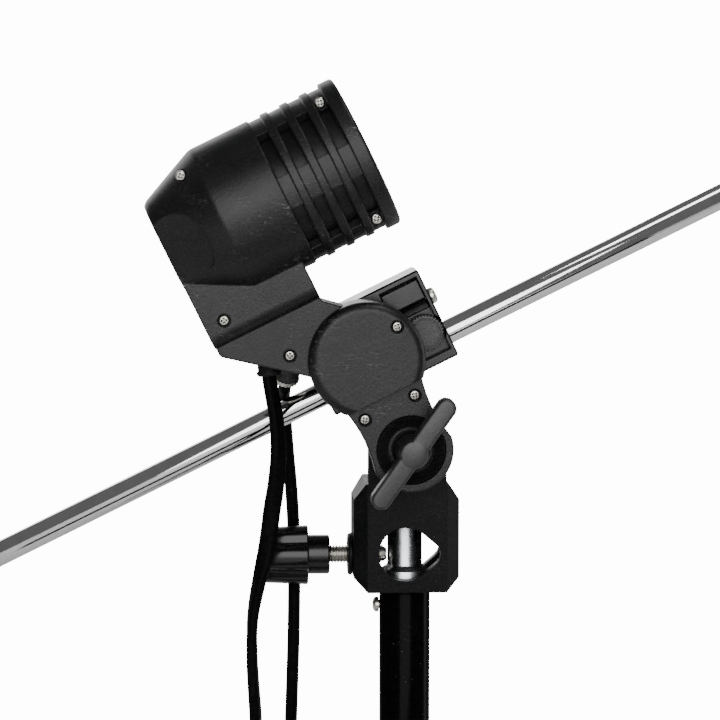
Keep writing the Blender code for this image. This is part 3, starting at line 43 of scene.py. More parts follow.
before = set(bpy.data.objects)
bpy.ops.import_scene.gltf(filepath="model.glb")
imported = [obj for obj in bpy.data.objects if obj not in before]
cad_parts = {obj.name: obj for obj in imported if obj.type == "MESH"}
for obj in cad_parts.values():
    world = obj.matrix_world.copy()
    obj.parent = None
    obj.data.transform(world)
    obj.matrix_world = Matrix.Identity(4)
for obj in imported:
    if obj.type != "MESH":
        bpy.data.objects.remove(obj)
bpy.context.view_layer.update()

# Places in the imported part, in millimetres.
TUBE = 185.0
PIVOT = 49.3
ARM_Y = -21.3
TILT = 26.15
LAMP = 92.3
ROD_PLACE = (-14.0, 21.3, 25.65)
ROD_LENGTH = 320.0
CLAMP_UP = 11.0
KNOB_PHASE = math.radians(54)
COIL = (-16.1, -20.5, -88.0)
PLUG = (-49.6, -24.0)
SWITCH = (-37.7, 13.5, -138.0)

GROOVE_FLOOR = 24.4     # radius between the barrel's ribs
BARREL = 25.1
RIM = 25.6
GROOVE_WIDTH = 2.85
GROOVES = (20.45, 13.5, 6.55)
BOSS_UP = 32.4
LUG_RADIUS = 13.7
THUMB_SCREW = (21.2, 0, 29.8)
CHANNEL_SCREWS = (-9.0, 6.0)
COIL_RADIUS = 33.5
COIL_FROM = -74.0       # the height where the flat lead turns into its coil
SPLIT_GAP = 0.15        # from the middle plane to each casing shell

# The camera: what it looks at, in metres, its angle round and above in degrees, and its lens in mm.
AIM = (-0.01483, 0, 0.07567 + TUBE / 1000)
AROUND = 3.3
ABOVE = 5.5
LENS = 136.35

# A wave texture repeats every tau / 20 of its scale.
WAVE = math.tau / 20
THREAD_MM = 0.7

MM = Matrix.Scale(0.001, 4)
STAND = MM
BRACKET = MM @ Matrix.Translation((0, 0, TUBE))
HEAD = BRACKET @ Matrix.Translation((0, ARM_Y, PIVOT)) @ Matrix.Rotation(math.radians(-TILT), 4, "Y")
TO_FRONT = Matrix.Rotation(math.pi / 2, 4, "X")
TO_BACK = Matrix.Rotation(-math.pi / 2, 4, "X")
TO_RIGHT = Matrix.Rotation(math.pi / 2, 4, "Y")
TO_LEFT = Matrix.Rotation(-math.pi / 2, 4, "Y")
INTO_X = Matrix(((0, 0, 1, 0), (1, 0, 0, 0), (0, 1, 0, 0), (0, 0, 0, 1)))

# Cord routes from the bracket's lower face, in millimetres.
FLAT_LEAD = [
    (-46.0, -21.3, 79.4), (-45.6, -21.3, 75.4), (-45.2, -21.3, 71.4), (-44.3, -21.0, 66.0),
    (-43.1, -20.6, 59.0), (-42.5, -20.2, 52.0), (-42.5, -20.0, 45.0), (-43.3, -19.5, 36.5),
    (-44.5, -19.0, 28.8), (-46.1, -18.5, 17.0), (-48.8, -18.0, 5.0), (-50.5, -17.6, -4.0),
    (-51.1, -17.5, -11.2), (-51.1, -17.5, -20.0), (-50.8, -17.7, -27.1), (-50.0, -17.6, -40.0),
    (-49.7, -16.9, -52.0), (-49.6, -15.6, -64.0), (-49.7, -14.6, -76.0),
]
FLAT_LEAD_LEAN = [(79, 58), (74, 58), (59, 55), (45, 39), (33, 12), (24, -3), (17, -16), (5, -62),
                  (-11, -90), (-27, -103), (-40, -108), (-56, -98), (-66, -90), (-400, -90)]
CASING_SCREWS = [(22.5, 112.6, 13.54), (22.5, 72.0, 13.54), (-26.9, 111.3, 12.6), (-35.1, 64.3, 11.5),
                 (-21.4, 44.6, 8), (13.3, 38.1, 12), (8.8, 15.4, 8), (-9.0, 15.4, 8)]
COIL_SLOTS = [(0, 6.3), (3.8, 6.3), (3.8, 0), (0, 0), (-3.8, 0), (-3.8, -6.3), (0, -6.3)]
ROUND_LEAD = [
    (-38.7, -6.6, 74.8), (-39.15, -3.9, 71.2), (-39.65, -0.9, 67.2), (-39.8, 2.6, 65.3),
    (-39.8, 5.4, 63.0), (-39.7, 7.1, 60.2), (-39.4, 8.7, 56.5), (-39.0, 10.1, 52.0),
    (-38.6, 11.1, 47.0), (-38.0, 12.0, 40.0), (-37.3, 12.6, 32.4), (-36.6, 13.1, 20.8),
    (-36.3, 13.5, 8.0), (-36.3, 13.5, -2.4), (-36.5, 13.5, -17.5), (-37.0, 13.5, -34.0),
    (-37.5, 13.5, -50.0), (-37.7, 13.5, -70.0), (-37.7, 13.5, -90.0), (-37.7, 13.5, -109.6),
]


# Studio: how bright the room is to the eye and to reflections, and the softboxes
# (name, place in metres, aim height in metres, size in metres, watts).
BACKDROP = 14.0
ROOM = 0.14
FLOOR_SEEN = 14.0
LIGHTS = [
    ("front", (-0.02, -1.30, 0.62), 0.30, (1.15, 1.00), 16.5),
    ("top", (0.25, -0.25, 1.30), 0.25, (0.5, 0.3), 3.0),
    ("side", (1.0, 0.25, 0.45), 0.25, (0.3, 0.9), 2.5),
    ("back", (-0.35, 1.25, 0.65), 0.25, (1.0, 0.8), 7.0),
]


def linear(code):
    """The linear colour of an sRGB hex code."""
    parts = [int(code[i:i + 2], 16) / 255 for i in (1, 3, 5)]
    return tuple(c / 12.92 if c <= 0.04045 else ((c + 0.055) / 1.055) ** 2.4 for c in parts)


def hue(name, code, about):
    return FloatVectorProperty(
        name=name, description=about, subtype="COLOR", size=3, min=0, max=1, default=linear(code))


def length(name, metres, about):
    return FloatProperty(
        name=name, description=about, default=metres, min=0, unit="LENGTH", subtype="DISTANCE")


class HolderSizes(bpy.types.PropertyGroup):
    lead_width: length("Flat lead width", 0.0058, "Width of the flat lead's sheath")
    lead_thickness: length("Flat lead thickness", 0.0035, "Thickness of the flat lead's sheath")
    round_lead: length("Round lead", 0.0042, "Diameter of the lead to the switch")
    screw_head: length("Screw head", 0.0035, "Diameter of the casing screws' heads")
    ring_teeth: IntProperty(
        name="Ring teeth", description="Serrations on the friction ring", default=84, min=12)
    knurl_teeth: IntProperty(
        name="Knurl teeth", description="Teeth round the thumb screw", default=34, min=12)
    thread_pitch: length("Thread pitch", 0.001, "Pitch of the M6 clamp screw")
    lamp_pitch: length("Lamp thread", 0.00363, "Pitch of the thread in the lamp socket")
    camera_distance: length("Camera distance", 0.9, "From the camera to the middle of the view")


class HolderColours(bpy.types.PropertyGroup):
    abs: hue("Casing", "#0d0d0e", "Moulded black of the casing")
    gloss: hue("Gloss plastic", "#080809", "Polished black of knobs and clamp")
    powder: hue("Bracket", "#0d0d0e", "Satin coating of the bracket")
    enamel: hue("Tube", "#040405", "Gloss enamel of the stand tube")
    chrome: hue("Chrome", "#e3e3e4", "Plated rod")
    zinc: hue("Zinc", "#dcd9d0", "Plated screws")
    steel: hue("Spigot", "#cfd2d6", "Turned spigot")
    brass: hue("Brass", "#c9a45c", "Lamp socket contacts")
    porcelain: hue("Porcelain", "#e9e4da", "Socket body")
    sheath: hue("Leads", "#060607", "Sheath of the leads")
    rubber: hue("Rubber", "#0b0b0b", "Bushing and rod caps")
    nylon: hue("Nylon", "#29292b", "Gland, jaw and rocker")
    dust: hue("Dust", "#8d8a84", "Dust and scuffs on black parts")
    floor: hue("Floor", "#f4f4f3", "Pale studio floor")


# ------------------------------------------------------------------ materials

def add(tree, kind, inputs=(), **settings):
    """A node with its settings; an input is set, or linked from a socket or a node's first output."""
    made = tree.nodes.new("ShaderNode" + kind)
    for name, value in settings.items():
        setattr(made, name, value)
    for key, value in dict(inputs).items():
        if isinstance(value, bpy.types.Node):
            value = value.outputs[0]
        if isinstance(value, bpy.types.NodeSocket):
            tree.links.new(value, made.inputs[key])
        else:
            made.inputs[key].default_value = value
    return made


def blank(name):
    material = bpy.data.materials.new(name)
    material.use_nodes = True
    material.node_tree.nodes.clear()
    return material, material.node_tree


def per(mm):
    """The scale of a pattern whose features are this many millimetres apart."""
    return 1000 / mm


def shade(colour, gain):
    return (*[min(1, c * gain) for c in colour], 1)


def blackware(name, colour, dust, rough=(0.42, 0.58), grain_mm=0.35, grain=0.35, edge_mm=0.35,
              edge_wear_and_highlight_gain=1.9, scuff=0.35, coat=0.0, mottle=0.25, speck=0.0, specular=0.5):
    """A dark moulded or coated surface: spark-eroded grain, rounded lips, scuffs and dust, with lighter edges
    that are partly wear and partly a painted highlight.
    """
    material, tree = blank(name)
    where = add(tree, "TexCoord").outputs["Object"]
    lip = add(tree, "Bevel", {"Radius": edge_mm / 1000}, samples=6)
    flat = add(tree, "NewGeometry").outputs["Normal"]
    turn = add(tree, "VectorMath", {0: lip, 1: flat}, operation="DOT_PRODUCT").outputs["Value"]
    edge = add(tree, "MapRange", {0: turn, 1: 0.995, 2: 0.90})
    cloud = add(tree, "TexNoise", {"Vector": where, "Scale": per(9.0), "Detail": 4, "Roughness": 0.55})
    fine = add(tree, "TexNoise", {"Vector": where, "Scale": per(grain_mm), "Detail": 2, "Roughness": 0.6})
    body = add(tree, "MixRGB", {
        0: add(tree, "MapRange", {0: cloud, 1: 0.35, 2: 0.65}),
        1: shade(colour, 1 - mottle), 2: shade(colour, 1 + mottle)})
    grained = add(tree, "MixRGB", {
        0: add(tree, "MapRange", {0: fine, 1: 0.42, 2: 0.66, 4: 0.8}), 1: body, 2: shade(colour, 2.3)})

    # long thin scuffs, in patches
    stretched = add(tree, "Mapping", {
        "Vector": where, "Scale": (0.35, 1.0, 2.2), "Rotation": (0.4, 0.9, 0.2)})
    streak = add(tree, "TexNoise", {
        "Vector": stretched, "Scale": per(1.6), "Detail": 6, "Roughness": 0.72, "Distortion": 1.5})
    patch = add(tree, "TexNoise", {"Vector": where, "Scale": per(14.0), "Detail": 2, "Roughness": 0.55})
    worn = add(tree, "Math", {
        0: add(tree, "MapRange", {0: streak, 1: 0.57, 2: 0.72}),
        1: add(tree, "MapRange", {0: patch, 1: 0.50, 2: 0.64})}, operation="MULTIPLY")
    scuffed = add(tree, "MixRGB", {
        0: add(tree, "Math", {0: worn, 1: scuff}, operation="MULTIPLY"), 1: grained, 2: (*dust, 1)})
    # Edges lightened by the gain: partly edge wear, partly a painted highlight along the rims.
    face = add(tree, "MixRGB", {
        0: add(tree, "Math", {0: edge, 1: 0.6}, operation="MULTIPLY"),
        1: scuffed, 2: shade(colour, edge_wear_and_highlight_gain)})

    if speck > 0:
        motes = add(tree, "MapRange", {
            0: add(tree, "TexVoronoi", {"Vector": where, "Scale": per(1.7)}), 1: 0.10, 2: 0.05})
        drift = add(tree, "TexNoise", {"Vector": where, "Scale": per(3.5), "Detail": 2, "Roughness": 0.55})
        mask = add(tree, "Math", {
            0: motes, 1: add(tree, "MapRange", {0: drift, 1: 0.56, 2: 0.60})}, operation="MULTIPLY")
        face = add(tree, "MixRGB", {
            0: add(tree, "Math", {0: mask, 1: speck}, operation="MULTIPLY"), 1: face, 2: (*dust, 1)})

    gloss = add(tree, "Math", {
        0: add(tree, "MapRange", {0: cloud, 1: 0.3, 2: 0.7, 3: rough[0], 4: rough[1]}),
        1: add(tree, "MapRange", {0: worn, 4: 0.12})}, operation="ADD")
    bump = add(tree, "Bump", {"Strength": grain, "Distance": 0.00010, "Height": fine, "Normal": lip})
    shader = add(tree, "BsdfPrincipled", {
        "Base Color": face, "Roughness": gloss, "Normal": bump, "Coat Weight": coat,
        "Coat Roughness": 0.08, "Specular IOR Level": specular})
    add(tree, "OutputMaterial", {"Surface": shader})
    return material


def metalware(name, colour, rough=(0.12, 0.24), lines_mm=0.0, lines_axis="Z", lines_depth=0.1, grime=0.25,
              edge_mm=0.2, stain="#5f5a50"):
    """A bare or plated metal with tool marks, handling haze, a little grime and painted shade in its
    recesses.
    """
    material, tree = blank(name)
    where = add(tree, "TexCoord").outputs["Object"]
    lip = add(tree, "Bevel", {"Radius": edge_mm / 1000}, samples=6)
    haze = add(tree, "TexNoise", {"Vector": where, "Scale": per(6.0), "Detail": 5, "Roughness": 0.6})
    spots = add(tree, "TexNoise", {"Vector": where, "Scale": per(0.9), "Detail": 3, "Roughness": 0.7})
    dirt = add(tree, "Math", {
        0: add(tree, "MapRange", {0: spots, 1: 0.60, 2: 0.72}), 1: grime}, operation="MULTIPLY")
    tone = add(tree, "MixRGB", {
        0: add(tree, "MapRange", {0: haze, 1: 0.35, 2: 0.7}), 1: shade(colour, 0.93), 2: shade(colour, 1.04)})
    face = add(tree, "MixRGB", {0: dirt, 1: tone, 2: (*linear(stain), 1)})
    # Painted shade: the colour falls to near black where ambient occlusion finds a recess, such as a screw's
    # cross recess or a thread.
    open_sky = add(tree, "AmbientOcclusion", {"Distance": 0.0014}, samples=8).outputs["AO"]
    face = add(tree, "MixRGB", {
        0: add(tree, "MapRange", {0: open_sky, 1: 0.25, 2: 0.8}), 1: shade(colour, 0.04), 2: face})
    gloss = add(tree, "Math", {
        0: add(tree, "MapRange", {0: haze, 1: 0.3, 2: 0.75, 3: rough[0], 4: rough[1]}),
        1: add(tree, "Math", {0: dirt, 1: 0.4}, operation="MULTIPLY")}, operation="ADD")
    normal = lip
    if lines_mm > 0:
        lines = add(tree, "TexWave", {
            "Vector": where, "Scale": per(lines_mm) * WAVE, "Distortion": 1.2, "Detail": 3,
            "Detail Scale": 2.0}, wave_type="BANDS", bands_direction=lines_axis).outputs["Fac"]
        normal = add(tree, "Bump", {
            "Strength": lines_depth, "Distance": 0.00004, "Height": lines, "Normal": lip})
    shader = add(tree, "BsdfPrincipled", {
        "Base Color": face, "Metallic": 1.0, "Roughness": gloss, "Normal": normal})
    add(tree, "OutputMaterial", {"Surface": shader})
    return material


def porcelain(name, colour):
    """Glazed white ceramic: a clear coat over a faintly speckled body."""
    material, tree = blank(name)
    where = add(tree, "TexCoord").outputs["Object"]
    speckle = add(tree, "TexNoise", {"Vector": where, "Scale": per(0.8), "Detail": 3, "Roughness": 0.55})
    swell = add(tree, "TexNoise", {"Vector": where, "Scale": per(3.0), "Detail": 3, "Roughness": 0.55})
    face = add(tree, "MixRGB", {
        0: add(tree, "MapRange", {0: speckle, 1: 0.60, 2: 0.72, 4: 0.4}),
        1: (*colour, 1), 2: shade(colour, 0.72)})
    bump = add(tree, "Bump", {"Strength": 0.1, "Distance": 0.0002, "Height": swell})
    shader = add(tree, "BsdfPrincipled", {
        "Base Color": face, "Roughness": 0.28, "Normal": bump, "Coat Weight": 0.8, "Coat Roughness": 0.06})
    add(tree, "OutputMaterial", {"Surface": shader})
    return material


def webbing(name, colour):
    """Woven nylon of a cable tie: two crossing sets of threads."""
    material, tree = blank(name)
    where = add(tree, "TexCoord").outputs["Object"]
    threads = {"Vector": where, "Scale": per(THREAD_MM) * WAVE}
    warp = add(tree, "TexWave", threads, bands_direction="Y").outputs["Fac"]
    weft = add(tree, "TexWave", threads, bands_direction="DIAGONAL").outputs["Fac"]
    weave = add(tree, "Math", {0: warp, 1: weft}, operation="MULTIPLY")
    face = add(tree, "MixRGB", {0: weave, 1: shade(colour, 0.5), 2: shade(colour, 2.2)})
    bump = add(tree, "Bump", {"Strength": 0.6, "Distance": 0.0002, "Height": weave})
    shader = add(tree, "BsdfPrincipled", {
        "Base Color": face, "Roughness": 0.85, "Normal": bump, "Sheen Weight": 0.3})
    add(tree, "OutputMaterial", {"Surface": shader})
    return material


def finishes(context):
    """Every finish of the holder, by the record's slot or a name of its own."""
    c = context.scene.holder_colours
    dust = tuple(c.dust)
    return {
        # ABS from a spark-eroded mould: fine grain, soft grey sheen, pale scuffs
        "black_abs": blackware("Moulded ABS", c.abs, dust, (0.36, 0.43), 0.75, 0.9, 0.45, 3.0, 0.6,
                               specular=0.34),
        # the same ABS polished by handling on the handle
        "handle": blackware("Moulded ABS handle", c.abs, dust, (0.42, 0.5), 0.7, 0.5, 0.5, 2.6, 0.3,
                            specular=0.78),
        # the ring's raised teeth stay darker than the plate round them: the casing ABS darkened to 0.6,
        # painted shade among the fine teeth
        "ring": blackware("Moulded ABS ring", shade(c.abs, 0.6)[:3], dust, (0.45, 0.6), 0.3, 0.15, 0.12,
                          3.0, 0.15, specular=0.14),
        # inside of the vents, in shadow
        "liner": blackware("Moulded ABS liner", shade(c.abs, 0.8)[:3], dust, (0.38, 0.5), 0.5, 0.2, 0.3,
                           1.5, 0.1, specular=0.3),
        # polished ABS: mirror-like with a few dust motes
        "gloss_black": blackware(
            "Polished ABS", c.gloss, dust, (0.18, 0.28), 0.9, 0.06, 0.4, 2.5, 0.15, 0.0, 0.2, 0.35, 0.4),
        # matte face of the thumb screw, worn to grey
        "knurl": blackware(
            "Worn ABS", c.nylon, dust, (0.4, 0.5), 0.55, 0.8, 0.2, 1.8, 0.6, 0.0, 0.4, 0.6, 0.5),
        # polyester powder coat on a die casting: satin with a slight orange peel
        "satin_metal": blackware(
            "Powder coat", c.powder, dust, (0.36, 0.46), 0.8, 0.25, 0.5, 3.4, 0.2, 0.0, 0.2, 0.3, 0.09),
        # stoved gloss enamel on the tube
        "tube_enamel": blackware(
            "Stoved enamel", c.enamel, dust, (0.16, 0.24), 1.4, 0.05, 0.3, 2.0, 0.1, 0.0, 0.1, 0.6, 0.03),
        # decorative chromium plate on the rod: nearly a mirror, with faint haze
        "chrome": metalware("Chromed steel", c.chrome, (0.045, 0.11), 0.0, grime=0.10),
        # zinc plate on the small screws: soft bright metal
        "zinc": metalware("Zinc plated steel", c.zinc, (0.24, 0.38), 0.0, grime=0.45),
        # lathe-turned steel: fine rings across the axis
        "turned_steel": metalware("Turned steel", c.steel, (0.20, 0.32), 0.35, "Z", 0.35, 0.2),
        # black oxide on the hidden washer
        "blackened": metalware("Blackened steel", linear("#141416"), (0.4, 0.5), 0.0, grime=0.2),
        # drawn brass, dulled by heat and handling
        "brass": metalware("Drawn brass", c.brass, (0.2, 0.34), 0.0, grime=0.3, stain="#6d5526"),
        "ceramic": porcelain("Glazed porcelain", tuple(c.porcelain)),
        # plasticised PVC sheath: satin, slightly uneven
        "pvc": blackware(
            "PVC sheath", c.sheath, dust, (0.36, 0.48), 1.1, 0.2, 0.2, 1.6, 0.1, 0.0, 0.3, 0.15, 0.035),
        # black rubber from a smooth mould: dull and even
        "rubber": blackware(
            "Moulded rubber", c.rubber, dust, (0.6, 0.75), 0.4, 0.3, 0.3, 1.6, 0.2, specular=0.2),
        # injection moulded nylon: plain and faintly shiny
        "grey_plastic": blackware(
            "Nylon 66", c.nylon, dust, (0.28, 0.4), 0.6, 0.15, 0.3, 1.5, 0.25, specular=0.25),
        "webbing": webbing("Nylon webbing", tuple(c.sheath)),
    }


# ------------------------------------------------------------------ shaping

def plain(form, name):
    """A form's mesh; the form itself is freed."""
    mesh = bpy.data.meshes.new(name)
    form.to_mesh(mesh)
    form.free()
    return mesh


def placed(name, data):
    """An object linked to the scene."""
    item = bpy.data.objects.new(name, data)
    bpy.context.scene.collection.objects.link(item)
    return item


def settled(item):
    """An object's mesh with its modifiers applied."""
    bpy.context.view_layer.update()
    return bpy.data.meshes.new_from_object(item.evaluated_get(bpy.context.evaluated_depsgraph_get()))


def tidy(form, merge=0.002):
    bmesh.ops.remove_doubles(form, verts=form.verts, dist=merge)
    bmesh.ops.recalc_face_normals(form, faces=form.faces)


def spun(form, profile, steps, closed=False, place=Matrix.Identity(4)):
    """Spin (radius, height) points about Z; closed when the profile is a loop."""
    points = [form.verts.new(place @ Vector((r, 0, h))) for r, h in profile]
    edges = [form.edges.new(pair) for pair in zip(points, points[1:])]
    if closed:
        edges.append(form.edges.new((points[-1], points[0])))
    axis = place.to_3x3() @ Vector((0, 0, 1))
    bmesh.ops.spin(
        form, geom=points + edges, cent=place.translation, axis=axis, dvec=(0, 0, 0),
        angle=2 * math.pi, steps=steps, use_merge=True)


def prism(form, outline, low, high, place=Matrix.Identity(4), edge=0.0, segments=3):
    """Extrude a closed outline along Z, and round its two rims."""
    face = form.faces.new([form.verts.new((x, y, low)) for x, y in outline])
    made = bmesh.ops.extrude_face_region(form, geom=[face])["geom"]
    moved = [item for item in made if isinstance(item, bmesh.types.BMVert)]
    bmesh.ops.translate(form, verts=moved, vec=(0, 0, high - low))
    own = set(face.verts) | set(moved)
    if edge > 0:
        rims = [e for e in form.edges
                if set(e.verts) <= own and abs(e.verts[0].co.z - e.verts[1].co.z) < 1e-6]
        made = bmesh.ops.bevel(
            form, geom=rims, offset=edge, offset_type="OFFSET", segments=segments, profile=0.5,
            affect="EDGES", clamp_overlap=True, material=-1)
        own = {v for v in own if v.is_valid} | {v for v in made["verts"]}
    bmesh.ops.transform(form, matrix=place, verts=list(own))


def block(form, low, high, place=Matrix.Identity(4), edge=0.0):
    made = bmesh.ops.create_cube(form, size=1)["verts"]
    size = [b - a for a, b in zip(low, high)]
    middle = Vector([(a + b) / 2 for a, b in zip(low, high)])
    bmesh.ops.transform(
        form, matrix=place @ Matrix.Translation(middle) @ Matrix.Diagonal((*size, 1)), verts=made)
    if edge > 0:
        edges = list({e for v in made for e in v.link_edges})
        bmesh.ops.bevel(
            form, geom=edges, offset=edge, offset_type="OFFSET", segments=3, profile=0.5,
            affect="EDGES", clamp_overlap=True, material=-1)


def arc(centre, radius, start, end, count):
    return [(centre[0] + radius * math.cos(math.radians(start + (end - start) * i / count)),
             centre[1] + radius * math.sin(math.radians(start + (end - start) * i / count)))
            for i in range(count + 1)]


def toothed(radius, depth, teeth, points_each=6):
    """A closed outline with rounded teeth."""
    outline = []
    for index in range(teeth * points_each):
        angle = 2 * math.pi * index / (teeth * points_each)
        reach = radius - depth * (0.5 - 0.5 * math.cos(teeth * angle))
        outline.append((reach * math.cos(angle), reach * math.sin(angle)))
    return outline


def coiled_ridge(form, profile, pitch, turns, start, steps=32):
    """A helical ridge: a small closed profile spun and lifted along Z."""
    points = [form.verts.new((r, 0, start + h)) for r, h in profile]
    edges = [form.edges.new((points[i], points[(i + 1) % len(points)])) for i in range(len(points))]
    count = int(steps * turns)
    end = bmesh.ops.spin(
        form, geom=points + edges, cent=(0, 0, 0), axis=(0, 0, 1), dvec=(0, 0, pitch / steps),
        angle=2 * math.pi * turns, steps=count, use_merge=False)["geom_last"]
    bmesh.ops.contextual_create(form, geom=edges)
    bmesh.ops.contextual_create(form, geom=[item for item in end if isinstance(item, bmesh.types.BMEdge)])


def piece(form, name, place, slot, body, nodes=(), angle=38, merge=0.002, finish=None):
    """Finish a form as an object at the origin that rides on a body of the part."""
    if merge > 0:
        tidy(form, merge)
    bmesh.ops.transform(form, matrix=place, verts=form.verts)
    return dressed(plain(form, name), name, slot, body, nodes, angle, finish)


def dressed(mesh, name, slot, body, nodes=(), angle=38, finish=None, lean=False):
    """An object with its finish (the slot's own, unless another is named), body and nodes."""
    item = placed(name, mesh)
    mesh.materials.clear()
    mesh.materials.append(FINISH[finish or slot])
    mesh.shade_smooth()
    mesh.set_sharp_from_angle(angle=math.radians(angle))
    if lean:
        weighted(item)
    if body:
        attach(item, body)
    if nodes:
        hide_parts(*nodes)
    return item


def refined(name, node, slot, body, angle=32, finish=None):
    """A welded, smoothly shaded copy of a node of the part."""
    form = bmesh.new()
    form.from_mesh(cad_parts[node].data)
    bmesh.ops.remove_doubles(form, verts=form.verts, dist=0.000002)
    bmesh.ops.dissolve_limit(
        form, angle_limit=math.radians(0.8), use_dissolve_boundaries=False,
        verts=form.verts, edges=form.edges, delimit={"NORMAL"})
    return dressed(plain(form, name), name, slot, body, [node], angle, finish, True)


def weighted(item):
    """Store normals that lean to the larger faces, so flat faces stay flat."""
    lean = item.modifiers.new("lean", "WEIGHTED_NORMAL")
    lean.keep_sharp = True
    mesh = settled(item)
    item.modifiers.clear()
    item.data = mesh
    return item


def solid(form, name, merge=0.002):
    """A closed form as a plain object, for joining and cutting."""
    tidy(form, merge)
    mesh = plain(form, name)
    item = placed(name, mesh)
    return item


def bow(start, end, depth, count):
    """Points between two ends on a curve that bows left of its chord by depth."""
    along = Vector(end) - Vector(start)
    side = Vector((-along.y, along.x)).normalized()
    shares = [index / count for index in range(1, count)]
    return [tuple(Vector(start) + along * t + side * (4 * depth * t * (1 - t))) for t in shares]


def carved(item, cutters):
    """Cut closed shapes out of a piece and leave a plain mesh."""
    for cutter in cutters:
        change = item.modifiers.new("carve", "BOOLEAN")
        change.operation = "DIFFERENCE"
        change.object = cutter
    mesh = settled(item)
    item.modifiers.clear()
    item.data = mesh
    mesh.shade_smooth()
    mesh.set_sharp_from_angle(angle=math.radians(38))
    for cutter in cutters:
        bpy.data.objects.remove(cutter, do_unlink=True)
    return item


def cross_screw(radius, height, recess, shank, length, crown=0.35):
    """A pan head screw's form, head up, with a cross recess, under-head at Z = 0."""
    form = bmesh.new()
    profile = [(0, height), (0.45 * radius, height - 0.12 * crown), (0.75 * radius, height - 0.45 * crown),
               (0.93 * radius, height - crown), (radius, height - 1.7 * crown), (radius, 0), (shank, 0),
               (shank, -length + 0.8), (0, -length)]
    spun(form, profile, 28)
    tidy(form)
    head = plain(form, "screw")
    item = placed("screw", head)
    blades = []
    for turn in (0, math.pi / 2):
        cutter = bmesh.new()
        made = bmesh.ops.create_cube(cutter, size=1)["verts"]
        for vert in made:
            wide = recess if vert.co.z > 0 else 0.45 * recess
            level = height + 0.5 if vert.co.z > 0 else height - 1.15
            vert.co = Vector((vert.co.x * 2 * wide, vert.co.y * 0.46 * radius, level))
        bmesh.ops.rotate(cutter, verts=made, cent=(0, 0, 0), matrix=Matrix.Rotation(turn + 0.5, 3, "Z"))
        mesh = plain(cutter, "blade")
        blade = placed("blade", mesh)
        blades.append(blade)
    carved(item, blades)
    mesh = item.data
    bpy.data.objects.remove(item, do_unlink=True)
    return mesh


def gather(meshes_and_places):
    form = bmesh.new()
    for mesh, place in meshes_and_places:
        before = set(form.verts)
        form.from_mesh(mesh)
        bmesh.ops.transform(form, matrix=place, verts=[v for v in form.verts if v not in before])
    return form


# ------------------------------------------------------------------ cords

def smooth(points, step):
    """Points about a step apart on a smooth curve through the given ones."""
    points = [Vector(p) for p in points]
    ends = [points[0] * 2 - points[1]] + points + [points[-1] * 2 - points[-2]]
    dense = []
    for a, b, c, d in zip(ends, ends[1:], ends[2:], ends[3:]):
        for part in range(24):
            t = part / 24
            dense.append(0.5 * (2 * b + (c - a) * t + (2 * a - 5 * b + 4 * c - d) * t * t
                                + (3 * b - a - 3 * c + d) * t ** 3))
    dense.append(points[-1])
    chosen, gone = [dense[0]], 0.0
    for last, point in zip(dense, dense[1:]):
        gone += (point - last).length
        if gone >= step:
            chosen.append(point)
            gone = 0.0
    return chosen + ([points[-1]] if (chosen[-1] - points[-1]).length > step / 3 else [])


def flat_lead_line():
    """The flat lead's centreline: down past the bracket, seven turns, then the tail."""
    line = list(FLAT_LEAD)
    steps = 30
    for turn in range(len(COIL_SLOTS)):
        here = COIL_SLOTS[turn]
        after = COIL_SLOTS[min(turn + 1, len(COIL_SLOTS) - 1)]
        for part in range(steps):
            share = part / steps
            blend = min(1, max(0, (share - 0.55) / 0.4))
            blend = blend * blend * (3 - 2 * blend)
            out = here[0] + (after[0] - here[0]) * blend
            side = here[1] + (after[1] - here[1]) * blend
            angle = math.pi + 2 * math.pi * share
            if turn == 0 and part < 1:
                continue
            line.append((COIL[0] + (COIL_RADIUS + out) * math.cos(angle), COIL[1] + side,
                         COIL[2] + (COIL_RADIUS + out) * math.sin(angle)))
    line += [(-49.6, -26.7, -88.5), (-49.7, -26.4, -97.0), (-49.7, -25.4, -106.0), (-49.6, -24.4, -114.0),
             (-49.6, -24.0, -121.5)]
    return smooth(line, 1.9)


def lean_at(height):
    for (high, first), (low, last) in zip(FLAT_LEAD_LEAN, FLAT_LEAD_LEAN[1:]):
        if low <= height <= high:
            share = (high - height) / (high - low)
            return math.radians(first + (last - first) * share)
    return math.radians(-90)


def flat_tube(line, width, thick, straight):
    """A flat sheath along a line; its width leans as the lead twists, then lies along Y."""
    form = bmesh.new()
    rim = thick / 2
    half = width / 2 - rim
    section = arc((half, 0), rim, -90, 90, 7) + arc((-half, 0), rim, 90, 270, 7)
    rings = []
    for index, point in enumerate(line):
        ahead = line[min(index + 1, len(line) - 1)] - line[max(index - 1, 0)]
        ahead.normalize()
        lean = lean_at(point.z) if index < straight else math.radians(-90)
        wide = Vector((math.cos(lean), math.sin(lean), 0))
        wide = (wide - ahead * wide.dot(ahead)).normalized()
        tall = ahead.cross(wide)
        rings.append([form.verts.new(point + wide * x + tall * y) for x, y in section])
    for ring, after in zip(rings, rings[1:]):
        for i in range(len(ring)):
            j = (i + 1) % len(ring)
            form.faces.new((ring[i], ring[j], after[j], after[i]))
    form.faces.new(rings[0])
    form.faces.new(rings[-1])
    bmesh.ops.recalc_face_normals(form, faces=form.faces)
    return form


def world_line(line):
    return [BRACKET @ Vector(p) for p in line]


# ------------------------------------------------------------------ operators

FINISH = {}     # the finished materials, filled before the operators run


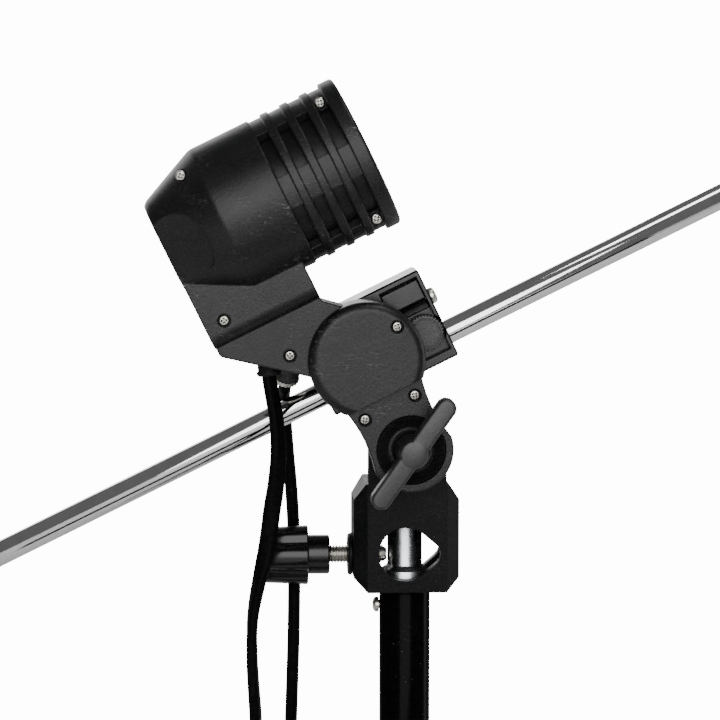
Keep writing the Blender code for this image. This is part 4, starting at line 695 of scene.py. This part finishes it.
class HOLDER_OT_stage(bpy.types.Operator):
    """Add the camera, the pale floor and the studio lights"""
    bl_idname = "holder.stage"
    bl_label = "Stage"
    bl_options = {"REGISTER", "UNDO"}

    def execute(self, context):
        sizes = context.scene.holder_sizes
        colours = context.scene.holder_colours
        around, above = math.radians(AROUND), math.radians(ABOVE)
        away = Vector((-math.sin(around) * math.cos(above), -math.cos(around) * math.cos(above),
                       math.sin(above)))
        lens = bpy.data.cameras.new("camera")
        lens.lens = LENS
        lens.sensor_width = 36
        lens.clip_end = 50
        camera = placed("camera", lens)
        camera.location = Vector(AIM) + away * sizes.camera_distance
        camera.rotation_euler = (-away).to_track_quat("-Z", "Y").to_euler()
        context.scene.camera = camera

        form = bmesh.new()
        bmesh.ops.create_grid(form, x_segments=2, y_segments=2, size=12)
        bmesh.ops.translate(form, verts=form.verts, vec=(0, 0, -0.0006))
        mesh = plain(form, "floor")
        floor = placed("floor", mesh)
        material, tree = blank("Painted floor")
        where = add(tree, "TexCoord").outputs["Object"]
        seen = add(tree, "LightPath").outputs["Is Camera Ray"]
        tone = add(tree, "MixRGB", {
            0: add(tree, "TexNoise", {"Vector": where, "Scale": 3.0}),
            1: (*colours.floor, 1), 2: shade(colours.floor, 1.02)})
        painted = add(tree, "BsdfDiffuse", {"Color": tone})
        lit = add(tree, "Emission", {"Color": (1, 1, 1, 1), "Strength": FLOOR_SEEN})
        mixed = add(tree, "MixShader", {0: seen, 1: painted, 2: lit})
        add(tree, "OutputMaterial", {"Surface": mixed})
        mesh.materials.append(material)
        self.card(context)

        world = bpy.data.worlds.new("studio")
        context.scene.world = world
        world.use_nodes = True
        tree = world.node_tree
        tree.nodes.clear()
        seen = add(tree, "LightPath").outputs["Is Camera Ray"]
        sky = add(tree, "Background", {
            "Color": (1, 1, 1, 1), "Strength": add(tree, "MapRange", {0: seen, 3: ROOM, 4: BACKDROP})})
        add(tree, "OutputWorld", {"Surface": sky})

        for name, place, aim_height, size, power in LIGHTS:
            light = bpy.data.lights.new(name, "AREA")
            light.shape = "RECTANGLE"
            light.size, light.size_y = size
            light.energy = power
            lamp = placed(name, light)
            lamp.location = place
            backwards = Vector(place) - Vector((0, 0, aim_height))
            lamp.rotation_euler = backwards.to_track_quat("Z", "Y").to_euler()
        return {"FINISHED"}

    def card(self, context):
        """A dark card below the rod that draws one dark line along its chrome."""
        rod = (HEAD @ Matrix.Translation(ROD_PLACE)).to_translation()
        along = (HEAD.to_3x3() @ Vector((1, 0, 0))).normalized()
        lifted = (HEAD.to_3x3() @ Vector((0, 0, 1))).normalized()
        below = math.radians(39)
        towards = Vector((0, -1, 0)) * math.cos(below) - lifted * math.sin(below)
        across = along.cross(towards).normalized()
        form = bmesh.new()
        made = bmesh.ops.create_grid(form, x_segments=1, y_segments=1, size=1)["verts"]
        for vert in made:
            vert.co = rod + towards * 0.2 + along * (0.24 * vert.co.x) + across * (0.030 * vert.co.y)
        mesh = plain(form, "dark_card")
        card = placed("dark_card", mesh)
        material, tree = blank("Black card")
        where = add(tree, "TexCoord").outputs["Object"]
        weave = add(tree, "TexNoise", {"Vector": where, "Scale": 200.0})
        felt = add(tree, "BsdfDiffuse", {"Color": add(tree, "MixRGB", {
            0: weave, 1: (0.02, 0.02, 0.02, 1), 2: (0.03, 0.03, 0.03, 1)})})
        add(tree, "OutputMaterial", {"Surface": felt})
        mesh.materials.append(material)
        card.visible_camera = False
        card.visible_shadow = False
        card.visible_diffuse = False


class HOLDER_OT_leads(bpy.types.Operator):
    """Lay the flat lead with its coil, tie and plug, and the round lead to its switch"""
    bl_idname = "holder.leads"
    bl_label = "Leads"
    bl_options = {"REGISTER", "UNDO"}

    def execute(self, context):
        sizes = context.scene.holder_sizes
        line = flat_lead_line()
        straight = next(i for i, p in enumerate(line) if p.z < COIL_FROM)
        form = flat_tube(line, sizes.lead_width * 1000, sizes.lead_thickness * 1000, straight)
        flat = piece(form, "flat_lead", BRACKET, "pvc", None,
                     ["lead_a", "lead_a_tail", "lead_a_coil"], merge=0)

        plug_parts = self.plug()
        tie = refined("coil_tie", "coil_tie", "webbing", "bracket", 40)
        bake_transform(flat)

        curve = bpy.data.curves.new("round_lead", "CURVE")
        curve.dimensions = "3D"
        curve.bevel_depth = sizes.round_lead / 2
        curve.bevel_resolution = 6
        curve.use_fill_caps = True
        spline = curve.splines.new("POLY")
        thin = world_line(smooth(ROUND_LEAD, 1.6))
        spline.points.add(len(thin) - 1)
        for point, place in zip(spline.points, thin):
            point.co = (*place, 1)
        guide = placed("round_lead", curve)
        mesh = settled(guide)
        bpy.data.objects.remove(guide, do_unlink=True)
        lead = dressed(mesh, "round_lead", "pvc", None, ["lead_b"], 60)
        switch = self.switch()
        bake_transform(lead)
        return {"FINISHED"}

    def plug(self):
        """The plug body, its ribbed sleeve and its two pins."""
        place = BRACKET @ Matrix.Translation((PLUG[0], PLUG[1], 0))
        body = refined("plug", "plug_body", "pvc", "bracket", 40)
        form = bmesh.new()
        profile = [(0, -119.4), (3.0, -119.4)]
        for index in range(5):
            top = -120.2 - index * 2.4
            profile += [(3.5 + 0.12 * index, top), (3.6 + 0.12 * index, top - 1.1),
                        (3.0 + 0.12 * index, top - 1.4), (3.0 + 0.12 * index, top - 2.2)]
        profile += [(4.6, -133), (0, -133)]
        spun(form, profile, 32)
        for side in (-1, 1):
            prism(form, arc((0, 3), 3, 0, 180, 10) + arc((0, -3), 3, 180, 360, 10), 5.6, 7.2,
                  Matrix.Translation((side * 8, 0, -149)) @ (TO_FRONT if side < 0 else TO_BACK), 0.5)
        strain = piece(form, "plug_sleeve", place, "pvc", "bracket")
        form = bmesh.new()
        for side in (-1, 1):
            spun(form, [(0, -152.4), (2, -152.4), (2, -176.6), (1.7, -177.4), (1.0, -177.9), (0, -178)], 32,
                 place=Matrix.Translation((side * 9.3, 0, 0)))
        pins = piece(form, "plug_pins", place, "brass", "bracket",
                     ["plug_pin_1", "plug_pin_2"])
        return [body, strain, pins]

    def switch(self):
        """The pendant switch: cover, base, rocker and ribbed sleeve."""
        cover, base, rocker = [
            refined(node, node, slot, body, angle) for node, body, slot, angle in (
                ("switch_cover", "bracket", "gloss_black", 40), ("switch_base", "bracket", "gloss_black", 40),
                ("switch_rocker", "rocker", "grey_plastic", 30))]
        form = bmesh.new()
        profile = [(0, 7.5), (2.5, 7.5)]
        for index in range(4):
            profile += [(3.1, 6.8 - 1.8 * index), (3.2, 5.8 - 1.8 * index), (2.6, 5.6 - 1.8 * index)]
        profile += [(4.2, -0.8), (0, -0.8)]
        spun(form, profile, 28)
        place = BRACKET @ Matrix.Translation((SWITCH[0], SWITCH[1], SWITCH[2] + 28))
        sleeve = piece(form, "switch_sleeve", place, "gloss_black", "bracket")
        return [cover, base, rocker, sleeve]


class HOLDER_OT_casing(bpy.types.Operator):
    """Make the two casing shells: barrel, block, arm plate and side boss, split down the middle"""
    bl_idname = "holder.casing"
    bl_label = "Casing"
    bl_options = {"REGISTER", "UNDO"}

    def execute(self, context):
        along_x = Matrix.Translation((0, 0, LAMP)) @ TO_RIGHT
        whole = solid(self.barrel(along_x), "casing")
        steps = [("UNION", item) for item in self.added()]
        steps += [("DIFFERENCE", item) for item in self.removed(along_x)]
        for kind, other in steps:
            change = whole.modifiers.new("change", "BOOLEAN")
            change.operation = kind
            change.object = other
        mesh = settled(whole)
        for kind, other in steps:
            bpy.data.objects.remove(other, do_unlink=True)
        bpy.data.objects.remove(whole, do_unlink=True)
        for side, sign in (("near", -1), ("far", 1)):
            half = placed("half", mesh.copy())
            form = bmesh.new()
            ends = sorted((SPLIT_GAP * sign, -80 * sign))
            block(form, (-80, ends[0], -60), (80, ends[1], 160))
            change = half.modifiers.new("split", "BOOLEAN")
            change.operation = "DIFFERENCE"
            change.object = solid(form, "split")
            made = settled(half)
            bpy.data.objects.remove(change.object, do_unlink=True)
            bpy.data.objects.remove(half, do_unlink=True)
            made.transform(HEAD)
            dressed(made, f"casing_shell_{side}", "black_abs", "head", [f"casing_{side}"], 30, lean=True)
        return {"FINISHED"}

    def barrel(self, place):
        """The outside of the lamp barrel: rim, three grooves, plain part and cone."""
        round_edge = 0.45
        profile = [(0, 29.55)] + arc((GROOVE_FLOOR, 28.35), 1.2, 90, 0, 6)
        profile += arc((RIM - 0.4, 24.95), 0.4, 0, -90, 4)
        profile += [(GROOVE_FLOOR, 24.55)]
        for groove in GROOVES:
            profile += [(GROOVE_FLOOR, groove)]
            profile += arc((BARREL - round_edge, groove - round_edge), round_edge, 90, 0, 4)
            profile += arc((BARREL - round_edge, groove - GROOVE_WIDTH + round_edge), round_edge, 0, -90, 4)
            profile += [(GROOVE_FLOOR, groove - GROOVE_WIDTH)]
        profile += [(GROOVE_FLOOR, -0.4)] + arc((24.6, -0.9), 0.5, 90, 0, 4)
        profile += [(BARREL, -20.6), (25.02, -21.3), (24.75, -22.2), (16.7, -40.4), (16.0, -41.3),
                    (15.2, -42), (0, -42)]
        form = bmesh.new()
        spun(form, profile, 160, place=place)
        return form

    def added(self):
        """What stands on the barrel: arm block, arm plate with its lug, side boss and gland pad."""
        section = ([(-11.5, 81.0)] + arc((-7, 61.5), 4.5, 180, 270, 14) + arc((7, 61.5), 4.5, 270, 360, 14)
                   + [(11.5, 81.0)])
        form = bmesh.new()
        prism(form, section, -41.8, -4.5, INTO_X, 0.5)
        items = [solid(form, "arm_block")]

        meet = -math.degrees(math.asin(12.8 / 18.5))
        left = arc((0, BOSS_UP), 18.5, 171, 180 - meet, 20)
        right = arc((0, BOSS_UP), 18.5, meet, 87, 40)
        lug = arc((0, 0), LUG_RADIUS, 188, 352, 60)
        outline = [(-41.5, 73.2)] + arc((-39.5, 55.1), 2, 180, 230, 8) + left
        outline += bow(left[-1], lug[0], 1.3, 14) + lug + bow(lug[-1], right[0], 1.3, 14) + right
        outline += [(-4.5, 55.8), (-4.5, 73.2)]
        form = bmesh.new()
        prism(form, outline, -8, 8, TO_FRONT, 0.5)
        items.append(solid(form, "arm_plate"))

        form = bmesh.new()
        dome = arc((15.6, 8.8), 3.2, 90, 0, 12)
        place = Matrix.Translation((0, 0, BOSS_UP)) @ TO_FRONT
        spun(form, [(0, 12), *dome, (18.8, 7), (0, 7)], 120, place=place)
        boss = solid(form, "side_boss")
        form = bmesh.new()
        block(form, (-30, -13, 12), (30, 0, 19.6))
        items.append(carved(boss, [solid(form, "chord")]))

        pad = [(-30, 49.8), (-29, 43.8), (-20, 38.1), (-17.6, 40.4), (-17.6, 52), (-30, 56)]
        form = bmesh.new()
        prism(form, pad, -19.9, -7, TO_FRONT)
        items.append(solid(form, "gland_pad"))
        return items

    def removed(self, along_x):
        """What is cut away: the inside, vents, thumb recesses, bores and screw holes."""
        cuts = []

        def take(profile, place, steps=48):
            form = bmesh.new()
            spun(form, profile, steps, place=place)
            cuts.append(solid(form, "cut"))

        def hole(radius, low, high, place, steps=40):
            take([(0, high), (radius, high), (radius, low), (0, low)], place, steps)

        def window(outline, low, high, place):
            form = bmesh.new()
            prism(form, outline, low, high, place)
            cuts.append(solid(form, "cut"))

        take([(0, 30.55), (21.5, 30.55), (21.5, -20.6), (8, -33), (0, -33)], along_x, 120)
        window([(-29, 80.3), (-31.5, 59), (-31.5, 51), (-25, 49.5), (-13.5, 48.5), (-9.5, 60), (-9.5, 76.3),
                (-12, 80.3)], -5.4, 5.4, TO_FRONT)
        window(arc((0, BOSS_UP), 8.5, 0, 345, 23), -5, 5, TO_FRONT)
        for start in (-0.4, *reversed(GROOVES)):
            for first, last in ((12.5, 54), (126, 167.5), (192.5, 234), (306, 347.5)):
                outline = arc((0, LAMP), 25.9, first, last, 10) + arc((0, LAMP), 20.3, last, first, 10)
                window(outline, start + 0.15, start + 3.95, INTO_X)
        slope = math.atan(9.1 / 20.4)     # of the barrel's cone
        for side in (-1, 1):
            lean = Euler((-side * math.pi / 2, 0, side * slope)).to_matrix().to_4x4()
            dish = [(0, -3.2), (10.6, -3.2), (11.4, -3.0), (11.9, -2.5), (12.0, -1.6), (12.0, 12), (0, 12)]
            take(dish, Matrix.Translation((-38.5, side * 17.56, 90.5)) @ lean, 96)
        hole(3.3, -9, 9, TO_FRONT)
        hole(11.2, 5.9, 9, TO_FRONT, 96)
        hole(7.3, 4.5, 9, TO_FRONT, 72)
        hole(7.6, 2.5, 9, Matrix.Translation(THUMB_SCREW) @ TO_BACK, 64)
        for along, up, face in CASING_SCREWS:
            place = Matrix.Translation((along, 0, up)) @ TO_FRONT
            hole(2.15, face - 2.3, face + 4, place, 28)
            hole(1.5, -min(face, 8) + 1.9, face - 1.3, place, 16)
        hole(3.8, -6, 14, Matrix.Translation((-29.6, 0, 42.9)) @ Matrix.Rotation(math.radians(20.4), 4, "Y"))
        gland = Matrix.Translation((-24.3, 15.6, 38.7)) @ Euler(
            (math.radians(36.9), math.radians(33.3), 0)).to_matrix().to_4x4()
        hole(3.4, -4, 7, gland)
        hole(2.2, 6, 20, gland)
        for along in CHANNEL_SCREWS:
            hole(1.5, 3, 9, Matrix.Translation((along, 0, 44.5)) @ TO_BACK, 16)
        return cuts


class HOLDER_OT_casing_screws(bpy.types.Operator):
    """Put the eight cross-head screws in the casing"""
    bl_idname = "holder.casing_screws"
    bl_label = "Casing screws"
    bl_options = {"REGISTER", "UNDO"}

    def execute(self, context):
        sizes = context.scene.holder_sizes
        radius = sizes.screw_head * 500
        mesh = cross_screw(radius, 1.6, 0.72 * radius, 1.2, 9)
        parts = []
        for index, (along, up, face) in enumerate(CASING_SCREWS):
            place = Matrix.Translation((along, -(face - 2.0), up)) @ TO_FRONT
            parts.append((mesh, place @ Matrix.Rotation(index * 1.3, 4, "Z")))
        piece(gather(parts), "casing_screw_set", HEAD, "zinc", "head",
              [f"casing_screw_{i}" for i in range(1, 9)], merge=0)
        return {"FINISHED"}


class HOLDER_OT_tilt_lock(bpy.types.Operator):
    """Make the serrated ring, the wing handle, the pivot bolt and its washer"""
    bl_idname = "holder.tilt_lock"
    bl_label = "Tilt lock"
    bl_options = {"REGISTER", "UNDO"}

    def execute(self, context):
        sizes = context.scene.holder_sizes
        teeth = sizes.ring_teeth
        form = bmesh.new()
        profile = [(10.9, 6.2), (10.9, 7.75), (10.6, 8.0), (9.4, 8.0), (7.9, 8.0), (7.6, 7.8), (7.6, 6.2)]
        spun(form, profile, teeth * 4, closed=True)
        for vert in form.verts:
            angle = math.atan2(vert.co.y, vert.co.x)
            if vert.co.z > 7.9:
                vert.co.z -= 0.42 * (0.5 - 0.5 * math.cos(teeth * angle))
        piece(form, "serrated_ring", HEAD @ TO_FRONT, "black_abs", "head", ["friction_ring"], finish="ring")

        place = BRACKET @ Matrix.Translation((0, 0, PIVOT)) @ TO_FRONT
        form = bmesh.new()
        wings = arc((17.8, 0), 3.2, -90, 90, 20) + arc((-17.8, 0), 3.2, 90, 270, 20)
        prism(form, wings, 34.0, 41.0, Matrix.Rotation(math.radians(54.5), 4, "Z"), 1.1, 4)
        spun(form, [
            (0, 41.25), (3.2, 41.2), (4.1, 40.9), (4.55, 40.2), (4.7, 39.2), (4.75, 34.0), (5.2, 33.0),
            (5.2, 27.5), (4.9, 27.0), (3.5, 27.0), (3.5, 37.0), (0, 37.0)], 48)
        piece(form, "tilt_handle", place, "black_abs", "handle", ["wing_handle"], finish="handle")
        refined("pivot_bolt", "pivot_bolt", "zinc", "bracket")
        refined("handle_washer", "handle_washer", "zinc", "washer", finish="blackened")
        return {"FINISHED"}


class HOLDER_OT_bracket(bpy.types.Operator):
    """Finish the stand bracket and the insert for its clamp screw"""
    bl_idname = "holder.bracket"
    bl_label = "Bracket"
    bl_options = {"REGISTER", "UNDO"}

    def execute(self, context):
        refined("stand_bracket", "adapter_bracket", "satin_metal", "bracket", 28)
        form = bmesh.new()
        profile = [(7.0, 18.5), (6.6, 19.0), (3.9, 19.0), (3.3, 18.4), (3.3, 13.4), (4.6, 13.4),
                   (4.6, 17.7), (7.0, 17.7)]
        spun(form, profile, 48, closed=True)
        piece(form, "clamp_insert", BRACKET @ Matrix.Translation((0, 0, CLAMP_UP)) @ TO_LEFT,
              "satin_metal", "bracket", ["threaded_insert"])
        return {"FINISHED"}


class HOLDER_OT_clamp_knob(bpy.types.Operator):
    """Make the threaded clamp screw and its lobed knob"""
    bl_idname = "holder.clamp_knob"
    bl_label = "Clamp knob"
    bl_options = {"REGISTER", "UNDO"}

    def execute(self, context):
        sizes = context.scene.holder_sizes
        place = BRACKET @ Matrix.Translation((0, 0, CLAMP_UP)) @ TO_LEFT
        pitch = sizes.thread_pitch * 1000
        form = bmesh.new()
        spun(form, [(0, 43.8), (2.5, 43.8), (2.5, 7.2), (1.9, 6.1), (0, 6.1)], 40)
        coiled_ridge(form, [(2.4, -0.42), (2.95, -0.08), (2.95, 0.08), (2.4, 0.42)], pitch, 36, 7.6, 36)
        piece(form, "clamp_thread", place, "zinc", "clamp_screw_slide", ["clamp_screw"],
              merge=0.0005)

        form = bmesh.new()
        outline = []
        for index in range(240):
            angle = 2 * math.pi * index / 240
            wave = (1 - math.cos(5 * angle)) / 2
            reach = 10.0 - 1.7 * wave ** 3
            outline.append((reach * math.cos(angle + KNOB_PHASE), reach * math.sin(angle + KNOB_PHASE)))
        prism(form, outline, 32.2, 46.2, edge=0.5, segments=3)
        for vert in form.verts:
            taper = 1.0 - 0.07 * (vert.co.z - 32.2) / 14
            vert.co = Vector((vert.co.x * taper, vert.co.y * taper, vert.co.z))
        spun(form, [(0, 46.6), (5.2, 46.6), (5.8, 46.2), (6.0, 45.6), (0, 45.6)], 48)
        hub = [(3.3, 32.9), (6.2, 32.9), (6.5, 32.6), (6.5, 25.6), (6.1, 25.1), (3.3, 25.1)]
        spun(form, hub, 96, closed=True)
        piece(form, "lobed_knob", place, "gloss_black", "clamp_knob_turn", ["clamp_knob"])
        return {"FINISHED"}


class HOLDER_OT_stand(bpy.types.Operator):
    """Make the tube, its end bush, the spigot and the spigot's screw"""
    bl_idname = "holder.stand"
    bl_label = "Stand"
    bl_options = {"REGISTER", "UNDO"}

    def execute(self, context):
        form = bmesh.new()
        spun(form, [
            (8.4, TUBE - 0.8), (8.2, TUBE - 0.4), (7.9, TUBE - 0.3), (7.0, TUBE - 0.3), (7.0, 2.8),
            (8.2, 2.8), (8.4, 3.0)], 96, closed=True)
        piece(form, "top_tube", STAND, "tube_enamel", "stand", ["stand_tube"])
        refined("end_bush", "tube_end_bush", "gloss_black", "stand", 40)
        form = bmesh.new()
        top = TUBE
        spun(form, [
            (0, top + 32.7), (7.0, top + 32.7), (7.6, top + 32.4), (8.0, top + 31.8), (8.0, top + 24.7),
            (7.9, top + 24.4), (6.0, top + 23.2), (5.75, top + 22.8), (5.75, top + 7.8), (5.95, top + 7.4),
            (7.85, top + 6.1), (8.0, top + 5.8), (8.0, top + 0.25), (7.85, top + 0.02), (6.7, top),
            (6.7, top - 24.3), (6.0, top - 25), (0, top - 25)], 96)
        piece(form, "turned_spigot", STAND, "turned_steel", "stand", ["spigot"], 30)
        mesh = cross_screw(2.5, 2.0, 1.6, 1.4, 4.0, 0.6)
        piece(gather([(mesh, Matrix.Translation((-8.7, 0, top - 6.0)) @ TO_LEFT)]), "spigot_screw", STAND,
              "zinc", "stand", ["spigot_screw"], merge=0)
        return {"FINISHED"}


class HOLDER_OT_rod_clamp(bpy.types.Operator):
    """Finish the rod clamp: channel, bar, screws, jaw and thumb screw"""
    bl_idname = "holder.rod_clamp"
    bl_label = "Rod clamp"
    bl_options = {"REGISTER", "UNDO"}

    def execute(self, context):
        sizes = context.scene.holder_sizes
        refined("rod_channel", "clamp_channel", "gloss_black", "head", 30)
        refined("rod_bar", "clamp_bar", "gloss_black", "head", 30)
        refined("rod_jaw", "clamp_jaw", "grey_plastic", "jaw", 30)
        mesh = cross_screw(2.7, 2.0, 1.7, 1.4, 9.0, 0.6)
        end = Matrix.Translation((28.2, 16.0, 39.4)) @ TO_RIGHT
        piece(gather([(mesh, end)]), "bar_screw", HEAD, "zinc", "head", ["clamp_end_screw"], merge=0)
        mesh = cross_screw(1.75, 1.5, 1.2, 1.2, 6.0)
        places = [Matrix.Translation((along, 10.4, 44.5)) @ TO_BACK for along in CHANNEL_SCREWS]
        piece(gather([(mesh, place) for place in places]), "channel_screw_set", HEAD, "zinc", "head",
              ["channel_screw_1", "channel_screw_2"], merge=0)

        form = bmesh.new()
        prism(form, toothed(6.2, 0.55, sizes.knurl_teeth), 8.8, 13.2, TO_BACK, 0.25, 2)
        spun(form, [(0, 12.9), (2.5, 12.9), (2.5, 17.2), (2.1, 17.5), (0, 17.5)], 28, place=TO_BACK)
        place = HEAD @ Matrix.Translation(THUMB_SCREW)
        knob = piece(form, "thumb_knob", place, "gloss_black", "thumb", ["thumb_screw"], finish="knurl")
        cutter = bmesh.new()
        spun(cutter, [(5.0, 9.4), (5.0, 8.0), (4.3, 8.0), (4.3, 9.4)], 48, closed=True, place=TO_BACK)
        tidy(cutter)
        bmesh.ops.transform(cutter, matrix=place, verts=cutter.verts)
        mesh = plain(cutter, "groove")
        groove = placed("groove", mesh)
        carved(knob, [groove])
        knob.data.materials.clear()
        knob.data.materials.append(FINISH["knurl"])
        return {"FINISHED"}


class HOLDER_OT_rod(bpy.types.Operator):
    """Make the chromed accessory rod and its end caps"""
    bl_idname = "holder.rod"
    bl_label = "Rod"
    bl_options = {"REGISTER", "UNDO"}

    def execute(self, context):
        place = HEAD @ Matrix.Translation(ROD_PLACE) @ TO_RIGHT
        form = bmesh.new()
        half = ROD_LENGTH / 2
        spun(form, [(4.0, half - 0.2), (3.85, half), (3.2, half), (3.2, -half), (3.85, -half),
                    (4.0, 0.2 - half)], 96, closed=True)
        piece(form, "chromed_rod", place, "chrome", "rod", ["accessory_rod"], 60)
        for side in ("left", "right"):
            refined(f"rod_end_{side}", f"rod_cap_{side}", "rubber", "rod", 40)
        return {"FINISHED"}


class HOLDER_OT_socket(bpy.types.Operator):
    """Finish the lamp socket inside the barrel"""
    bl_idname = "holder.socket"
    bl_label = "Socket"
    bl_options = {"REGISTER", "UNDO"}

    def execute(self, context):
        sizes = context.scene.holder_sizes
        place = HEAD @ Matrix.Translation((0, 0, LAMP)) @ TO_RIGHT
        refined("vent_liner", "socket_liner", "black_abs", "head", 30, "liner")
        refined("socket_ceramic", "socket_body", "ceramic", "head", 35)
        pitch = sizes.lamp_pitch * 1000
        form = bmesh.new()
        spun(form, [(14.8, 19.8), (14.8, -5.5), (14.2, -5.5), (14.2, 19.8)], 72, closed=True)
        ridge = [(14.3, -1.2), (13.7, -0.5), (13.5, 0), (13.7, 0.5), (14.3, 1.2)]
        coiled_ridge(form, ridge, pitch, 5.5, -2.5, 48)
        piece(form, "lamp_thread", place, "brass", "head", ["lamp_shell"], 40, 0.0005)
        refined("middle_contact", "centre_contact", "brass", "head", 35)
        mesh = cross_screw(2.8, 1.8, 1.7, 1.5, 5.5)
        places = [Matrix.Translation((-12.4, side * 9, LAMP)) @ TO_LEFT for side in (-1, 1)]
        piece(gather([(mesh, p) for p in places]), "terminal_screw_set", HEAD, "brass", "head",
              ["terminal_screw_1", "terminal_screw_2"], merge=0)
        return {"FINISHED"}


class HOLDER_OT_outlets(bpy.types.Operator):
    """Finish the bushing and the gland where the leads come out"""
    bl_idname = "holder.outlets"
    bl_label = "Lead outlets"
    bl_options = {"REGISTER", "UNDO"}

    def execute(self, context):
        for name, node, slot, angle in (
                ("outlet_bushing", "lead_bushing", "rubber", 50),
                ("outlet_gland", "lead_gland", "grey_plastic", 50), ("outlet_nut", "gland_nut", "zinc", 40)):
            refined(name, node, slot, "head", angle)
        return {"FINISHED"}


OPERATORS = [
    HOLDER_OT_stage, HOLDER_OT_leads, HOLDER_OT_casing, HOLDER_OT_casing_screws, HOLDER_OT_tilt_lock,
    HOLDER_OT_bracket, HOLDER_OT_clamp_knob, HOLDER_OT_stand, HOLDER_OT_rod_clamp, HOLDER_OT_rod,
    HOLDER_OT_socket, HOLDER_OT_outlets]


class HOLDER_PT_panel(bpy.types.Panel):
    """Lists the pieces that can be added"""
    bl_label = "Lamp holder"
    bl_space_type = "VIEW_3D"
    bl_region_type = "UI"
    bl_category = "Lamp holder"

    def draw(self, context):
        for operator in OPERATORS:
            self.layout.operator(operator.bl_idname)
        for group in (context.scene.holder_sizes, context.scene.holder_colours):
            box = self.layout.box()
            for name in group.__annotations__:
                box.prop(group, name)


CLASSES = [HolderSizes, HolderColours, *OPERATORS, HOLDER_PT_panel]


def register():
    for item in CLASSES:
        bpy.utils.register_class(item)
    bpy.types.Scene.holder_sizes = PointerProperty(type=HolderSizes)
    bpy.types.Scene.holder_colours = PointerProperty(type=HolderColours)


def unregister():
    del bpy.types.Scene.holder_colours
    del bpy.types.Scene.holder_sizes
    for item in reversed(CLASSES):
        bpy.utils.unregister_class(item)


def main():
    register()
    FINISH.update(finishes(bpy.context))
    for operator in OPERATORS:
        area, name = operator.bl_idname.split(".")
        getattr(getattr(bpy.ops, area), name)()
    bpy.context.view_layer.update()


if __name__ == "__main__":
    main()
